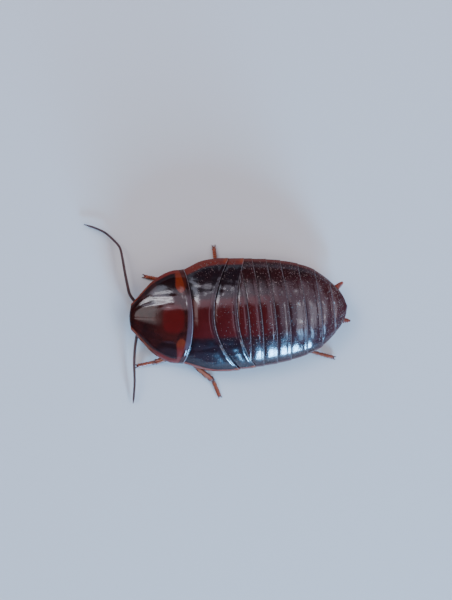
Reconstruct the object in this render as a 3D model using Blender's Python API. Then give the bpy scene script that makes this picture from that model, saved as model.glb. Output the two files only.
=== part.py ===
"""Orange head cockroach, a last-stage nymph at life size, lying flat with its legs and feelers spread.

The head is toward -Y, the left side toward +X and the belly rests on z = 0. Every length below is in
millimetres. A station is a distance from the front edge of the pronotum toward the tail.
"""

import math
import random

import bmesh
import bpy
from mathutils import Matrix, Vector

MM = 0.001
GAP = 0.3

# The origin lies under the belly, this far behind the front edge of the pronotum.
ORIGIN_STATION = 29.5

# Behind the pronotum the body leans to its right, and each cross-section turns with it.
BEND_START = 10.9
BEND_EASE = 4.0
MIDLINE_LEAN = math.radians(4.0)
SECTION_TURN = math.radians(7.5)

# Station, half width, height of the crest and height of the side edge.
BODY_SECTIONS = (
    (0.0, 2.2, 3.9, 2.9),
    (1.0, 3.2, 4.7, 3.0),
    (2.2, 4.6, 5.4, 3.05),
    (4.7, 7.2, 6.6, 3.2),
    (7.9, 9.0, 7.9, 3.3),
    (10.7, 9.4, 8.75, 3.3),
    (12.6, 10.1, 9.15, 3.3),
    (15.0, 10.95, 9.45, 3.3),
    (18.2, 11.3, 9.7, 3.3),
    (22.0, 11.15, 9.8, 3.3),
    (27.0, 10.7, 9.7, 3.3),
    (31.0, 10.15, 9.25, 3.3),
    (34.5, 9.3, 8.5, 3.35),
    (37.7, 7.95, 7.45, 3.4),
    (40.6, 5.6, 6.2, 3.45),
    (42.6, 3.3, 5.1, 3.5),
    (44.0, 0.6, 4.2, 3.6),
)
DOME_ROUNDNESS = 2.2
DOME_SHOULDER = 0.8

# Hind edges of the plates on the midline.
PRONOTUM_HIND = 11.8
MESONOTUM_HIND = 15.96
METANOTUM_HIND = 20.56
TERGITE_HINDS = (22.75, 25.3, 28.1, 30.9, 34.4, 37.7, 40.6)
BODY_LENGTH = 44.0
PRONOTUM_CORNER_RISE = 1.1
NOSE_ROUNDING = 0.35
MESONOTUM_PAD_REACH = 5.0
METANOTUM_PAD_REACH = 3.6
TERGITE_1_WIDTH_SHARE = 0.66
TAIL_ROUNDING = 0.9

PLATE_STEP = 0.3
SHELL_WALL = 0.8
SHELL_RIM = 0.45
SHELL_RIM_WIDTH = 0.6
PAD_RIM_CLEARANCE = 0.4
TERGITE_RIM = 0.5

# Station, height of the belly on the midline and half width of its flat.
BELLY_SECTIONS = (
    (20.5, 2.0, 0.6),
    (22.75, 1.65, 1.0),
    (25.3, 0.5, 2.0),
    (28.1, 0.0, 4.4),
    (34.4, 0.0, 5.0),
    (37.7, 0.5, 3.6),
    (40.6, 1.3, 2.0),
)
BELLY_SIDE_INSET = 1.6
BELLY_SIDE_HEIGHT = 0.5
BELLY_SIDE_POWER = 0.6
STERNITE_END = 40.4

THORAX_FLOOR = 2.6
PROTHORAX_START = 7.7
PROTHORAX_HALF_WIDTH = 5.8
THORAX_HALF_WIDTH = 7.6

# The head hangs under the pronotum with its face turned down and its mouth toward the tail.
HEAD_CENTRE = Vector((0.0, 4.5, 2.6))
HEAD_TILT = math.radians(25.0)
HEAD_SECTIONS = (
    (-2.9, 0.9, 0.4),
    (-2.6, 1.7, 0.8),
    (-2.0, 2.35, 1.15),
    (-1.0, 2.75, 1.4),
    (0.2, 2.7, 1.45),
    (1.1, 2.3, 1.3),
    (2.0, 1.8, 1.05),
    (2.9, 1.35, 0.75),
)
EYE_SEAT = 2.3
EYE_SEAT_END = 1.0
EYE_ALONG = -1.0
EYE_SIZE = (0.8, 1.3, 1.05)
EYE_RING_LIFTS = (0.0, 0.35, 0.65, 0.88, 0.98)
LABRUM_SECTIONS = ((3.2, 1.15, 0.38), (3.6, 1.0, 0.34), (3.95, 0.5, 0.26))

# The neck leaves the back of the head, turned steeply, and meets the thorax upright.
NECK_FROM_HEAD = Vector((0.0, 0.9, -0.3))
NECK_HEAD_CLEARANCE = 1.75
NECK_HEAD_TILT = math.radians(-65)
NECK_END_HEIGHT = 4.6
NECK_ARCH = 0.25
NECK_HALF_WIDTH = 1.5
NECK_HALF_THICKNESS = (0.75, 1.2)

# Each leg's joints as (to the side, station, height): coxa root, trochanter, knee, ankle and toe.
LEG_JOINTS = {
    "front_left": (
        (2.7, 8.0, 1.65), (3.6, 10.6, 1.15), (8.1, 8.9, 1.9), (9.3, 5.4, 0.8), (10.0, 2.2, 0.3),
    ),
    "front_right": (
        (-2.7, 8.0, 1.65), (-3.6, 10.6, 1.15), (-7.6, 10.1, 1.9), (-7.1, 6.5, 0.8), (-7.7, 3.6, 0.3),
    ),
    "middle_left": (
        (2.8, 12.2, 1.65), (4.1, 15.3, 1.1), (9.6, 12.9, 1.9), (13.1, 17.2, 0.8), (16.2, 18.6, 0.3),
    ),
    "middle_right": (
        (-2.8, 12.2, 1.65), (-4.1, 15.0, 1.1), (-9.1, 12.0, 1.9), (-10.3, 17.5, 0.8), (-13.3, 17.2, 0.3),
    ),
    "hind_left": (
        (3.0, 17.0, 1.65), (4.3, 21.3, 0.85), (7.8, 28.3, 0.95), (7.5, 37.2, 0.8), (8.8, 41.9, 0.3),
    ),
    "hind_right": (
        (-3.0, 17.0, 1.65), (-4.1, 20.8, 0.85), (-9.3, 26.9, 0.95), (-8.9, 35.0, 0.8), (-7.4, 38.9, 0.3),
    ),
}

# Share of the segment's length, half width and half thickness.
COXA_PROFILE = ((0.0, 1.15, 0.6), (0.3, 1.65, 0.65), (0.7, 1.35, 0.6), (1.0, 0.65, 0.5))
FEMUR_PROFILE = (
    (0.0, 0.5, 0.45), (0.2, 0.8, 0.55), (0.45, 1.0, 0.6), (0.75, 0.8, 0.58), (1.0, 0.5, 0.5),
)
TIBIA_PROFILE = ((0.0, 0.4, 0.4), (0.2, 0.48, 0.45), (0.7, 0.52, 0.48), (1.0, 0.46, 0.42))

# Rows of spines: turn round the segment from straight up in degrees, and each spine's share of its length.
TIBIA_SPINE_ROWS = (
    (-62, (0.3, 0.55, 0.78)),
    (62, (0.2, 0.46, 0.74)),
    (-105, (0.42, 0.66, 0.82)),
    (105, (0.34, 0.58, 0.8)),
)
FEMUR_SPINE_ROWS = ((-100, (0.45, 0.66)), (100, (0.36, 0.56)))
SPINE_LEAN = math.radians(48)
SPINE_RADIUS = 0.26
SPINE_SIDES = 5
SPINE_VARIATION = (0.85, 1.15)
SPINE_LEAST_HEIGHT = 0.12
TIBIA_SPINE_LENGTH = 0.7
TIBIA_SPINE_SHARE = 0.12
FEMUR_SPINE_LENGTH = 1.35
CLAW_LENGTH = 1.0
CLAW_RADIUS = 0.2
CLAW_SPREAD = math.radians(24)
CLAW_ROOT = 0.25

# Shares of the foot's length where its five short joints end.
TARSOMERE_ENDS = (0.0, 0.36, 0.54, 0.68, 0.79, 1.0)
TARSOMERE_STEP = 0.01
TARSOMERE_NECK = 0.27
TARSOMERE_END_RADIUS = 0.38

LEFT_ANTENNA_ROUTE = (
    (1.45, 2.96, 1.6), (1.8, 2.6, 1.25), (2.6, 2.1, 1.3), (4.1, 1.7, 1.6), (6.6, 1.3, 1.9),
    (9.7, 1.2, 1.9), (12.9, 1.35, 1.6), (15.4, 1.3, 1.1), (17.5, 1.2, 0.6),
)
RIGHT_ANTENNA_ROUTE = (
    (-1.45, 2.96, 1.6), (-1.8, 2.5, 1.25), (-2.7, 1.5, 1.3), (-4.25, 0.3, 1.6), (-6.0, -0.2, 1.9),
    (-8.6, -0.75, 2.0), (-11.7, -1.3, 1.9), (-13.6, -1.8, 1.7), (-15.0, -3.0, 1.5), (-16.4, -4.6, 1.2),
    (-17.3, -6.5, 0.9), (-18.0, -8.7, 0.6),
)
SCAPE_RADIUS = 0.4
SCAPE_SHARE = 0.12
FLAGELLUM_RADIUS = 0.3
ANTENNA_TIP_RADIUS = 0.15

PALP_ROUTE = ((2.15, 6.5, 1.3), (3.2, 5.9, 0.85), (3.9, 4.6, 0.75), (3.6, 3.2, 0.85), (2.7, 2.3, 0.75))
PALP_RADIUS = 0.27
PALP_TIP_RADIUS = 0.34
PALP_TIP_SHARES = (0.75, 0.95)

LEFT_CERCUS = ((0.8, 41.0, 2.15), (1.2, 45.0, 2.2))
RIGHT_CERCUS = ((-4.4, 40.6, 2.15), (-6.7, 43.3, 2.2))
CERCUS_PROFILE = (
    (0.0, 0.42, 0.4), (0.25, 0.52, 0.45), (0.55, 0.42, 0.38), (0.85, 0.22, 0.2), (1.0, 0.08, 0.08),
)

# How finely each kind of piece is divided.
SHELL_COLUMNS = 20
PRONOTUM_ROWS = 10
NOTUM_ROWS = 5
NARROW_PLATE_COLUMNS = 14
TERGITE_ROWS = 2
TAIL_ROWS = 4
STERNITE_COLUMNS = 10
CORE_COLUMNS = 8
CORE_ROWS = 2
HEAD_SIDES = 16
LABRUM_SIDES = 10
EYE_SIDES = 12
NECK_SIDES = 12
LIMB_SIDES = 10
SLIM_LIMB_SIDES = 8
PALP_SIDES = 7
ANTENNA_SIDES = 6
ROUTE_PIECES = 3
SHARP_ANGLE = math.radians(40)


def interpolate(table, station):
    """Values of a table of stations at one station, by straight lines between its rows."""
    station = min(max(station, table[0][0]), table[-1][0])
    for row, following in zip(table, table[1:]):
        if station <= following[0]:
            share = (station - row[0]) / (following[0] - row[0])
            return tuple(a + (b - a) * share for a, b in zip(row[1:], following[1:]))
    return table[-1][1:]


def smooth_section(station):
    """Half width, crest and edge height, by cubic curves through the rows of BODY_SECTIONS."""
    rows = BODY_SECTIONS
    station = min(max(station, rows[0][0]), rows[-1][0])
    index = next(i for i in range(len(rows) - 1) if station <= rows[i + 1][0])
    before, after = max(index - 1, 0), min(index + 2, len(rows) - 1)
    span = rows[index + 1][0] - rows[index][0]
    t = (station - rows[index][0]) / span
    values = []
    for column in (1, 2, 3):
        start, end = rows[index][column], rows[index + 1][column]
        slope_in = (end - rows[before][column]) / (rows[index + 1][0] - rows[before][0]) * span
        slope_out = (rows[after][column] - start) / (rows[after][0] - rows[index][0]) * span
        values.append(
            start * (2 * t**3 - 3 * t**2 + 1)
            + slope_in * (t**3 - 2 * t**2 + t)
            + end * (3 * t**2 - 2 * t**3)
            + slope_out * (t**3 - t**2)
        )
    return values


def place(station, side, height):
    """Point in metres of a place on the leaning body."""
    past = max(0.0, station - BEND_START)
    eased = 1 - math.exp(-past / BEND_EASE)
    shift = -math.tan(MIDLINE_LEAN) * (past - BEND_EASE * eased)
    turn = SECTION_TURN * eased
    return Vector(
        (shift + side * math.cos(turn), station + side * math.sin(turn) - ORIGIN_STATION, height)
    ) * MM


def to_metres(point):
    """Point in metres of (side, station, height) outside the leaning body."""
    side, station, height = point
    return Vector((side, station - ORIGIN_STATION, height)) * MM


def arch(across):
    """Share of the dome's height at a share of its half width."""
    return max(0.0, 1 - abs(across) ** DOME_ROUNDNESS) ** DOME_SHOULDER


def dome_height(station, across):
    _, crest, edge = smooth_section(station)
    return edge + (crest - edge) * arch(across)


def wall_height(station, across):
    """Height of the inner side of a shell plate."""
    _, crest, edge = smooth_section(station)
    return edge - SHELL_RIM + (crest - edge - (SHELL_WALL - SHELL_RIM)) * arch(across)


def pronotum_hind(across):
    return PRONOTUM_HIND - PRONOTUM_CORNER_RISE * abs(across) ** DOME_ROUNDNESS


def mesonotum_hind(across):
    return MESONOTUM_HIND + MESONOTUM_PAD_REACH * across**2


def metanotum_hind(across):
    return METANOTUM_HIND + METANOTUM_PAD_REACH * abs(across) ** DOME_ROUNDNESS


def behind_pads(across):
    """Front edge of what follows the metanotum, clear of its rim's slanted inner side."""
    return metanotum_hind(across) + GAP + PAD_RIM_CLEARANCE * abs(across)


def add_node(name, finish, bm):
    """Makes the mesh one named object of the cockroach."""
    bmesh.ops.recalc_face_normals(bm, faces=bm.faces)
    mesh = bpy.data.meshes.new(name)
    bm.to_mesh(mesh)
    bm.free()
    mesh.materials.append(finish)
    mesh.shade_smooth()
    mesh.set_sharp_from_angle(angle=SHARP_ANGLE)
    node = bpy.data.objects.new(name, mesh)
    bpy.data.collections["orange_head_cockroach"].objects.link(node)
    return node


def add_slab(name, finish, columns, rows, upper, lower):
    """Closed plate between two surfaces, each a function of across (-1 to 1) and along (0 to 1)."""
    bm = bmesh.new()
    bmesh.ops.create_grid(bm, x_segments=columns, y_segments=rows, size=1.0)
    under = bm.verts[:]
    raised = bmesh.ops.extrude_face_region(bm, geom=bm.faces[:])["geom"]
    over = [item for item in raised if isinstance(item, bmesh.types.BMVert)]
    for verts, surface in ((under, lower), (over, upper)):
        for vert in verts:
            vert.co = surface(math.sin(vert.co.x * math.pi / 2), (vert.co.y + 1) / 2)
    return add_node(name, finish, bm)


def add_loft(name, finish, rings):
    """Closed skin over rings of points that run the same way round."""
    bm = bmesh.new()
    loops = [[bm.verts.new(point) for point in ring] for ring in rings]
    for ring, following in zip(loops, loops[1:]):
        for i, vert in enumerate(ring):
            j = (i + 1) % len(ring)
            bm.faces.new((vert, ring[j], following[j], following[i]))
    bm.faces.new(loops[0])
    bm.faces.new(loops[-1])
    return add_node(name, finish, bm)


def ellipse(centre, side, up, half_width, half_thickness, sides):
    """Ring of points round a centre, in metres."""
    angles = [2 * math.pi * i / sides for i in range(sides)]
    return [
        centre + (side * (half_width * math.cos(a)) + up * (half_thickness * math.sin(a))) * MM
        for a in angles
    ]


def add_shell_plate(name, finish, rows, front, hind, step=PLATE_STEP):
    """Curved plate of even wall whose hind edge stands above what follows it."""

    def station_at(across, along):
        return front(across) + (hind(across) - front(across)) * along

    def upper(across, along):
        station = station_at(across, along)
        height = dome_height(station, across) - step * (1 - along)
        return place(station, across * smooth_section(station)[0], height)

    def lower(across, along):
        station = station_at(across, along)
        height = wall_height(station, across) - step * (1 - along)
        return place(station, across * (smooth_section(station)[0] - SHELL_RIM_WIDTH), height)

    return add_slab(name, finish, SHELL_COLUMNS, rows, upper, lower)


def add_tergite(name, finish, columns, front, hind, width_share=1.0, rows=TERGITE_ROWS):
    """Back plate of one ring of the abdomen, with a flat underside."""

    def station_at(across, along):
        reach = across * width_share
        return front(reach) + (hind(reach) - front(reach)) * along

    def upper(across, along):
        station = station_at(across, along)
        height = dome_height(station, across * width_share) - PLATE_STEP * (1 - along)
        return place(station, across * width_share * smooth_section(station)[0], height)

    def lower(across, along):
        station = station_at(across, along)
        half_width, _, edge = smooth_section(station)
        return place(station, across * width_share * half_width, edge - TERGITE_RIM)

    return add_slab(name, finish, columns, rows, upper, lower)


def add_sternite(name, finish, front, hind):
    """Belly plate of one ring of the abdomen, flat above and resting on its flat below."""

    def half_width(station):
        return smooth_section(station)[0] - BELLY_SIDE_INSET

    def roof(station):
        return smooth_section(station)[2] - TERGITE_RIM - GAP

    def upper(across, along):
        station = front + (hind - front) * along
        return place(station, across * half_width(station), roof(station))

    def lower(across, along):
        station = front + (hind - front) * along
        belly, flat = interpolate(BELLY_SECTIONS, station)
        side = abs(across) * half_width(station)
        rise = max(0.0, side - flat) / (half_width(station) - flat)
        height = belly + (roof(station) - BELLY_SIDE_HEIGHT - belly) * rise**BELLY_SIDE_POWER
        return place(station, across * half_width(station), height)

    return add_slab(name, finish, STERNITE_COLUMNS, TERGITE_ROWS, upper, lower)


def add_thorax_core(name, finish, front, hind, half_width):
    """Flesh under a shell plate, down to the floor that the coxae hang from."""

    def upper(across, along):
        station = front + (hind - front) * along
        side = across * half_width
        share = side / (smooth_section(station)[0] - SHELL_RIM_WIDTH)
        return place(station, side, wall_height(station, share) - PLATE_STEP - GAP)

    def lower(across, along):
        station = front + (hind - front) * along
        return place(station, across * half_width, THORAX_FLOOR)

    return add_slab(name, finish, CORE_COLUMNS, CORE_ROWS, upper, lower)


def head_point(along, side, up):
    """Point of the head: along it from crown to mouth, to the side, and up toward the pronotum."""
    cos, sin = math.cos(HEAD_TILT), math.sin(HEAD_TILT)
    return to_metres(HEAD_CENTRE + Vector((side, along * cos + up * sin, up * cos - along * sin)))


def add_head(finish):
    """Flattened capsule with a flat seat for each eye."""
    rings = []
    for along, half_width, half_thickness in HEAD_SECTIONS:
        seat = EYE_SEAT if along < EYE_SEAT_END else half_width
        ring = []
        for i in range(HEAD_SIDES):
            angle = 2 * math.pi * (i + 0.5) / HEAD_SIDES
            side = max(-seat, min(seat, half_width * math.cos(angle)))
            ring.append(head_point(along, side, half_thickness * math.sin(angle)))
        rings.append(ring)
    return add_loft("head", finish, rings)


def add_labrum(finish):
    """Upper lip, just past the end of the head."""
    angles = [2 * math.pi * i / LABRUM_SIDES for i in range(LABRUM_SIDES)]
    rings = []
    for along, half_width, half_thickness in LABRUM_SECTIONS:
        rings.append(
            [head_point(along, half_width * math.cos(a), half_thickness * math.sin(a)) for a in angles]
        )
    return add_loft("labrum", finish, rings)


def add_eye(name, finish, side):
    """Half an egg that stands on the head's seat."""
    bulge, half_length, half_height = EYE_SIZE
    angles = [2 * math.pi * i / EYE_SIDES for i in range(EYE_SIDES)]
    rings = []
    for lift in EYE_RING_LIFTS:
        shrink = math.sqrt(1 - lift**2)
        rings.append(
            [
                head_point(
                    EYE_ALONG + half_length * shrink * math.cos(a),
                    side * (EYE_SEAT + GAP + bulge * lift),
                    half_height * shrink * math.sin(a),
                )
                for a in angles
            ]
        )
    return add_loft(name, finish, rings)


def add_neck(finish):
    """Soft neck from the back of the head to the thorax."""
    behind_head = Vector((0.0, math.sin(HEAD_TILT), math.cos(HEAD_TILT))) * NECK_HEAD_CLEARANCE
    start = HEAD_CENTRE + NECK_FROM_HEAD + behind_head
    end = Vector((0.0, PROTHORAX_START - GAP, NECK_END_HEIGHT))
    side = Vector((1, 0, 0))
    thin, thick = NECK_HALF_THICKNESS
    rings = []
    for share in (0.0, 0.5, 1.0):
        tilt = NECK_HEAD_TILT * (1 - share)
        up = Vector((0.0, math.sin(tilt), math.cos(tilt)))
        centre = start.lerp(end, share) + Vector((0.0, 0.0, NECK_ARCH * math.sin(math.pi * share)))
        half_thickness = thin + (thick - thin) * share
        rings.append(ellipse(to_metres(centre), side, up, NECK_HALF_WIDTH, half_thickness, NECK_SIDES))
    return add_loft("neck", finish, rings)


def smooth_route(points):
    """Points along a smooth curve through a route's own points."""
    points = [Vector(p) for p in points]
    ends = [points[0] * 2 - points[1], *points, points[-1] * 2 - points[-2]]
    route = []
    for a, b, c, d in zip(ends, ends[1:], ends[2:], ends[3:]):
        bend = a * 2 - b * 5 + c * 4 - d
        twist = b * 3 - a - c * 3 + d
        for i in range(ROUTE_PIECES):
            t = i / ROUTE_PIECES
            route.append((b * 2 + (c - a) * t + bend * t**2 + twist * t**3) / 2)
    return [*route, points[-1]]


def add_tube(name, finish, route, radius_at, sides):
    """Tapered tube along a route; radius_at takes the share of its length."""
    rings = []
    for i, point in enumerate(route):
        ahead = route[min(i + 1, len(route) - 1)] - route[max(i - 1, 0)]
        side = ahead.cross(Vector((0, 0, 1))).normalized()
        up = side.cross(ahead).normalized()
        radius = radius_at(i / (len(route) - 1))
        rings.append(ellipse(to_metres(point), side, up, radius, radius, sides))
    return add_loft(name, finish, rings)


def antenna_radius(share):
    """Thick scape at the root, then a slim whip that tapers to its tip."""
    if share < SCAPE_SHARE:
        return SCAPE_RADIUS
    return FLAGELLUM_RADIUS + (ANTENNA_TIP_RADIUS - FLAGELLUM_RADIUS) * (share - SCAPE_SHARE) ** 2


def palp_radius(share):
    """Even stalk with a swollen last joint."""
    start, end = PALP_TIP_SHARES
    return PALP_TIP_RADIUS if start < share < end else PALP_RADIUS


def segment_frame(joints, index):
    """Start, end, axis, side and up directions of one segment, in millimetres."""
    start, end = Vector(joints[index]), Vector(joints[index + 1])
    axis = (end - start).normalized()
    side = axis.cross(Vector((0, 0, 1))).normalized()
    return start, end, axis, side, side.cross(axis)


def add_limb(name, finish, joints, index, profile, sides=LIMB_SIDES):
    """One segment of a leg, mitred against the segments that it meets."""
    start, end, axis, side, up = segment_frame(joints, index)
    near = axis
    if index > 0:
        near = (axis + (start - Vector(joints[index - 1])).normalized()).normalized()
    far = axis
    if index + 2 < len(joints):
        far = (axis + (Vector(joints[index + 2]) - end).normalized()).normalized()
    rings = []
    for share, half_width, half_thickness in profile:
        ring = []
        for i in range(sides):
            angle = 2 * math.pi * (i + 0.5) / sides
            point = start.lerp(end, share)
            point += side * (half_width * math.cos(angle)) + up * (half_thickness * math.sin(angle))
            if share == 0.0 and index > 0:
                point += axis * ((GAP / 2 - (point - start).dot(near)) / axis.dot(near))
            if share == 1.0 and index + 2 < len(joints):
                point -= axis * ((GAP / 2 + (point - end).dot(far)) / axis.dot(far))
            point.z = max(point.z, 0.0)
            ring.append(to_metres(point))
        rings.append(ring)
    return add_loft(name, finish, rings)


def tarsus_profile():
    """Five short joints, each wider at its far end."""
    profile = []
    for start, end in zip(TARSOMERE_ENDS, TARSOMERE_ENDS[1:]):
        neck = start if start == 0.0 else start + TARSOMERE_STEP
        profile.append((neck, TARSOMERE_NECK, TARSOMERE_NECK))
        profile.append((end, TARSOMERE_END_RADIUS, TARSOMERE_END_RADIUS))
    return profile


def cone_object(root, tip, radius):
    """Slim closed cone from a root inside a limb to its tip, both in millimetres."""
    tip = Vector((tip.x, tip.y, max(tip.z, SPINE_LEAST_HEIGHT)))
    turn = (tip - root).to_track_quat("Z", "Y").to_matrix().to_4x4()
    middle = Matrix.Translation(to_metres((root + tip) / 2))
    bm = bmesh.new()
    bmesh.ops.create_cone(
        bm,
        cap_ends=True,
        segments=SPINE_SIDES,
        radius1=radius * MM,
        radius2=0.0,
        depth=(tip - root).length * MM,
        matrix=middle @ turn,
    )
    mesh = bpy.data.meshes.new("cone")
    bm.to_mesh(mesh)
    bm.free()
    return bpy.data.objects.new("cone", mesh)


def keep_largest_body(mesh):
    """Drops every loose scrap but the body with the most faces."""
    bm = bmesh.new()
    bm.from_mesh(mesh)
    unseen = set(bm.verts)
    bodies = []
    while unseen:
        body, front = set(), [unseen.pop()]
        while front:
            vert = front.pop()
            body.add(vert)
            for edge in vert.link_edges:
                other = edge.other_vert(vert)
                if other in unseen:
                    unseen.remove(other)
                    front.append(other)
        bodies.append(body)
    bodies.sort(key=len)
    bmesh.ops.delete(bm, geom=[vert for body in bodies[:-1] for vert in body], context="VERTS")
    bm.to_mesh(mesh)
    bm.free()


def fuse(node, cones):
    """Joins the cones to their node, so that it stays one closed body."""
    helpers = bpy.data.collections.new("fused")
    bpy.context.scene.collection.children.link(helpers)
    for cone in cones:
        helpers.objects.link(cone)
    union = node.modifiers.new("union", "BOOLEAN")
    union.operation = "UNION"
    union.operand_type = "COLLECTION"
    union.collection = helpers
    union.solver = "MANIFOLD"
    bpy.context.view_layer.update()
    graph = bpy.context.evaluated_depsgraph_get()
    joined = bpy.data.meshes.new_from_object(node.evaluated_get(graph))
    node.modifiers.clear()
    node.data = joined
    keep_largest_body(joined)
    for cone in cones:
        bpy.data.objects.remove(cone)
    bpy.data.collections.remove(helpers)


def add_spines(node, joints, index, rows, length, draw):
    """Rows of spines that lean toward the foot, each of its own length."""
    start, end, axis, side, up = segment_frame(joints, index)
    cones = []
    for turn, shares in rows:
        angle = math.radians(turn)
        outward = up * math.cos(angle) + side * math.sin(angle)
        direction = outward * math.cos(SPINE_LEAN) + axis * math.sin(SPINE_LEAN)
        for share in shares:
            root = start.lerp(end, share)
            reach = length * draw.uniform(*SPINE_VARIATION)
            cones.append(cone_object(root, root + direction * reach, SPINE_RADIUS))
    fuse(node, cones)


def add_claws(node, joints):
    """A pair of claws at the toe, bent down to the floor."""
    _, toe, axis, side, _ = segment_frame(joints, 3)
    root = toe - axis * CLAW_ROOT
    cones = []
    for hand in (-1, 1):
        direction = axis * math.cos(CLAW_SPREAD) + side * (hand * math.sin(CLAW_SPREAD))
        cones.append(cone_object(root, root + direction * (CLAW_LENGTH + CLAW_ROOT), CLAW_RADIUS))
    fuse(node, cones)


def add_leg(leg, finish):
    """Coxa, femur, tibia and tarsus of one leg, with their spines and claws."""
    joints = LEG_JOINTS[leg]
    row, side = leg.split("_")
    draw = random.Random(leg)
    tibia_length = (Vector(joints[3]) - Vector(joints[2])).length
    add_limb(f"{row}_coxa_{side}", finish, joints, 0, COXA_PROFILE)
    femur = add_limb(f"{row}_femur_{side}", finish, joints, 1, FEMUR_PROFILE)
    add_spines(femur, joints, 1, FEMUR_SPINE_ROWS, FEMUR_SPINE_LENGTH, draw)
    tibia = add_limb(f"{row}_tibia_{side}", finish, joints, 2, TIBIA_PROFILE, SLIM_LIMB_SIDES)
    spine_length = TIBIA_SPINE_LENGTH + TIBIA_SPINE_SHARE * tibia_length
    add_spines(tibia, joints, 2, TIBIA_SPINE_ROWS, spine_length, draw)
    tarsus = add_limb(f"{row}_tarsus_{side}", finish, joints, 3, tarsus_profile(), SLIM_LIMB_SIDES)
    add_claws(tarsus, joints)


def add_thorax(hood, back, belly):
    """The three shell plates of the thorax and the flesh under each."""
    add_shell_plate("pronotum", hood, PRONOTUM_ROWS, lambda u: NOSE_ROUNDING * u * u, pronotum_hind, step=0.0)
    add_shell_plate("mesonotum", back, NOTUM_ROWS, lambda u: pronotum_hind(u) + GAP, mesonotum_hind)
    add_shell_plate("metanotum", back, NOTUM_ROWS, lambda u: mesonotum_hind(u) + GAP, metanotum_hind)
    add_thorax_core("prothorax", belly, PROTHORAX_START, PRONOTUM_HIND - GAP, PROTHORAX_HALF_WIDTH)
    add_thorax_core("mesothorax", belly, PRONOTUM_HIND, MESONOTUM_HIND, THORAX_HALF_WIDTH)
    add_thorax_core("metathorax", belly, MESONOTUM_HIND + GAP, METANOTUM_HIND, THORAX_HALF_WIDTH)


def add_abdomen(back, belly):
    """Back plates and belly plates of the abdomen's rings, and the plate that ends it."""
    first, second, last = TERGITE_HINDS[0], TERGITE_HINDS[1], TERGITE_HINDS[-1]
    add_tergite(
        "tergite_1", back, NARROW_PLATE_COLUMNS, behind_pads, lambda u: first, TERGITE_1_WIDTH_SHARE
    )
    add_tergite(
        "tergite_2", back, SHELL_COLUMNS, lambda u: max(first + GAP, behind_pads(u)), lambda u: second
    )
    for number in range(3, len(TERGITE_HINDS) + 1):
        add_tergite(
            f"tergite_{number}", back, SHELL_COLUMNS,
            lambda u: TERGITE_HINDS[number - 2] + GAP, lambda u: TERGITE_HINDS[number - 1],
        )
    add_tergite(
        "supra_anal_plate", back, NARROW_PLATE_COLUMNS,
        lambda u: last + GAP, lambda u: BODY_LENGTH - TAIL_ROUNDING * u * u, rows=TAIL_ROWS,
    )
    fronts = (METANOTUM_HIND, *TERGITE_HINDS)
    for number, hind in enumerate(TERGITE_HINDS, start=1):
        add_sternite(f"sternite_{number}", belly, fronts[number - 1] + GAP, min(hind, STERNITE_END))


def make_finish(name, colour, roughness):
    """Plain finish of one kind of cuticle."""
    finish = bpy.data.materials.new(name)
    finish.use_nodes = True
    shader = finish.node_tree.nodes["Principled BSDF"]
    shader.inputs["Base Color"].default_value = (*colour, 1.0)
    shader.inputs["Roughness"].default_value = roughness
    shader.inputs["Metallic"].default_value = 0.0
    return finish


def clear_scene():
    for obj in list(bpy.data.objects):
        bpy.data.objects.remove(obj)


def main():
    clear_scene()
    collection = bpy.data.collections.new("orange_head_cockroach")
    bpy.context.scene.collection.children.link(collection)

    back = make_finish("dark_cuticle", (0.035, 0.008, 0.006), 0.2)
    hood = make_finish("blood_red_cuticle", (0.09, 0.012, 0.006), 0.2)
    belly = make_finish("belly_cuticle", (0.12, 0.035, 0.015), 0.35)
    limb = make_finish("red_brown_cuticle", (0.22, 0.05, 0.018), 0.35)
    feeler = make_finish("antenna_cuticle", (0.06, 0.025, 0.02), 0.5)
    eye = make_finish("eye_black", (0.01, 0.008, 0.008), 0.12)
    membrane = make_finish("neck_membrane", (0.35, 0.2, 0.1), 0.6)

    add_thorax(hood, back, belly)
    add_abdomen(back, belly)
    add_head(back)
    add_labrum(limb)
    add_neck(membrane)
    for side_name, side in (("left", 1), ("right", -1)):
        add_eye(f"eye_{side_name}", eye, side)
        route = smooth_route([(side * x, station, z) for x, station, z in PALP_ROUTE])
        add_tube(f"palp_{side_name}", limb, route, palp_radius, PALP_SIDES)
    add_tube("antenna_left", feeler, smooth_route(LEFT_ANTENNA_ROUTE), antenna_radius, ANTENNA_SIDES)
    add_tube("antenna_right", feeler, smooth_route(RIGHT_ANTENNA_ROUTE), antenna_radius, ANTENNA_SIDES)
    add_limb("cercus_left", limb, LEFT_CERCUS, 0, CERCUS_PROFILE, SLIM_LIMB_SIDES)
    add_limb("cercus_right", limb, RIGHT_CERCUS, 0, CERCUS_PROFILE, SLIM_LIMB_SIDES)
    for leg in LEG_JOINTS:
        add_leg(leg, limb)


main()
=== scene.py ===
"""Orange head cockroach, a last-stage nymph at life size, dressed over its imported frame.

The head is toward -Y, the left side toward +X and the belly rests on the floor. Sizes in the classes
are millimetres, and a station is a distance from the front edge of the pronotum toward the tail.
"""

import logging
import math
import random
from collections.abc import Callable, Sequence
from dataclasses import dataclass
from enum import Enum
from functools import cache

import bmesh
import bpy
import numpy as np
from bmesh.types import BMesh, BMVert
from mathutils import Matrix, Vector, noise


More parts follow.
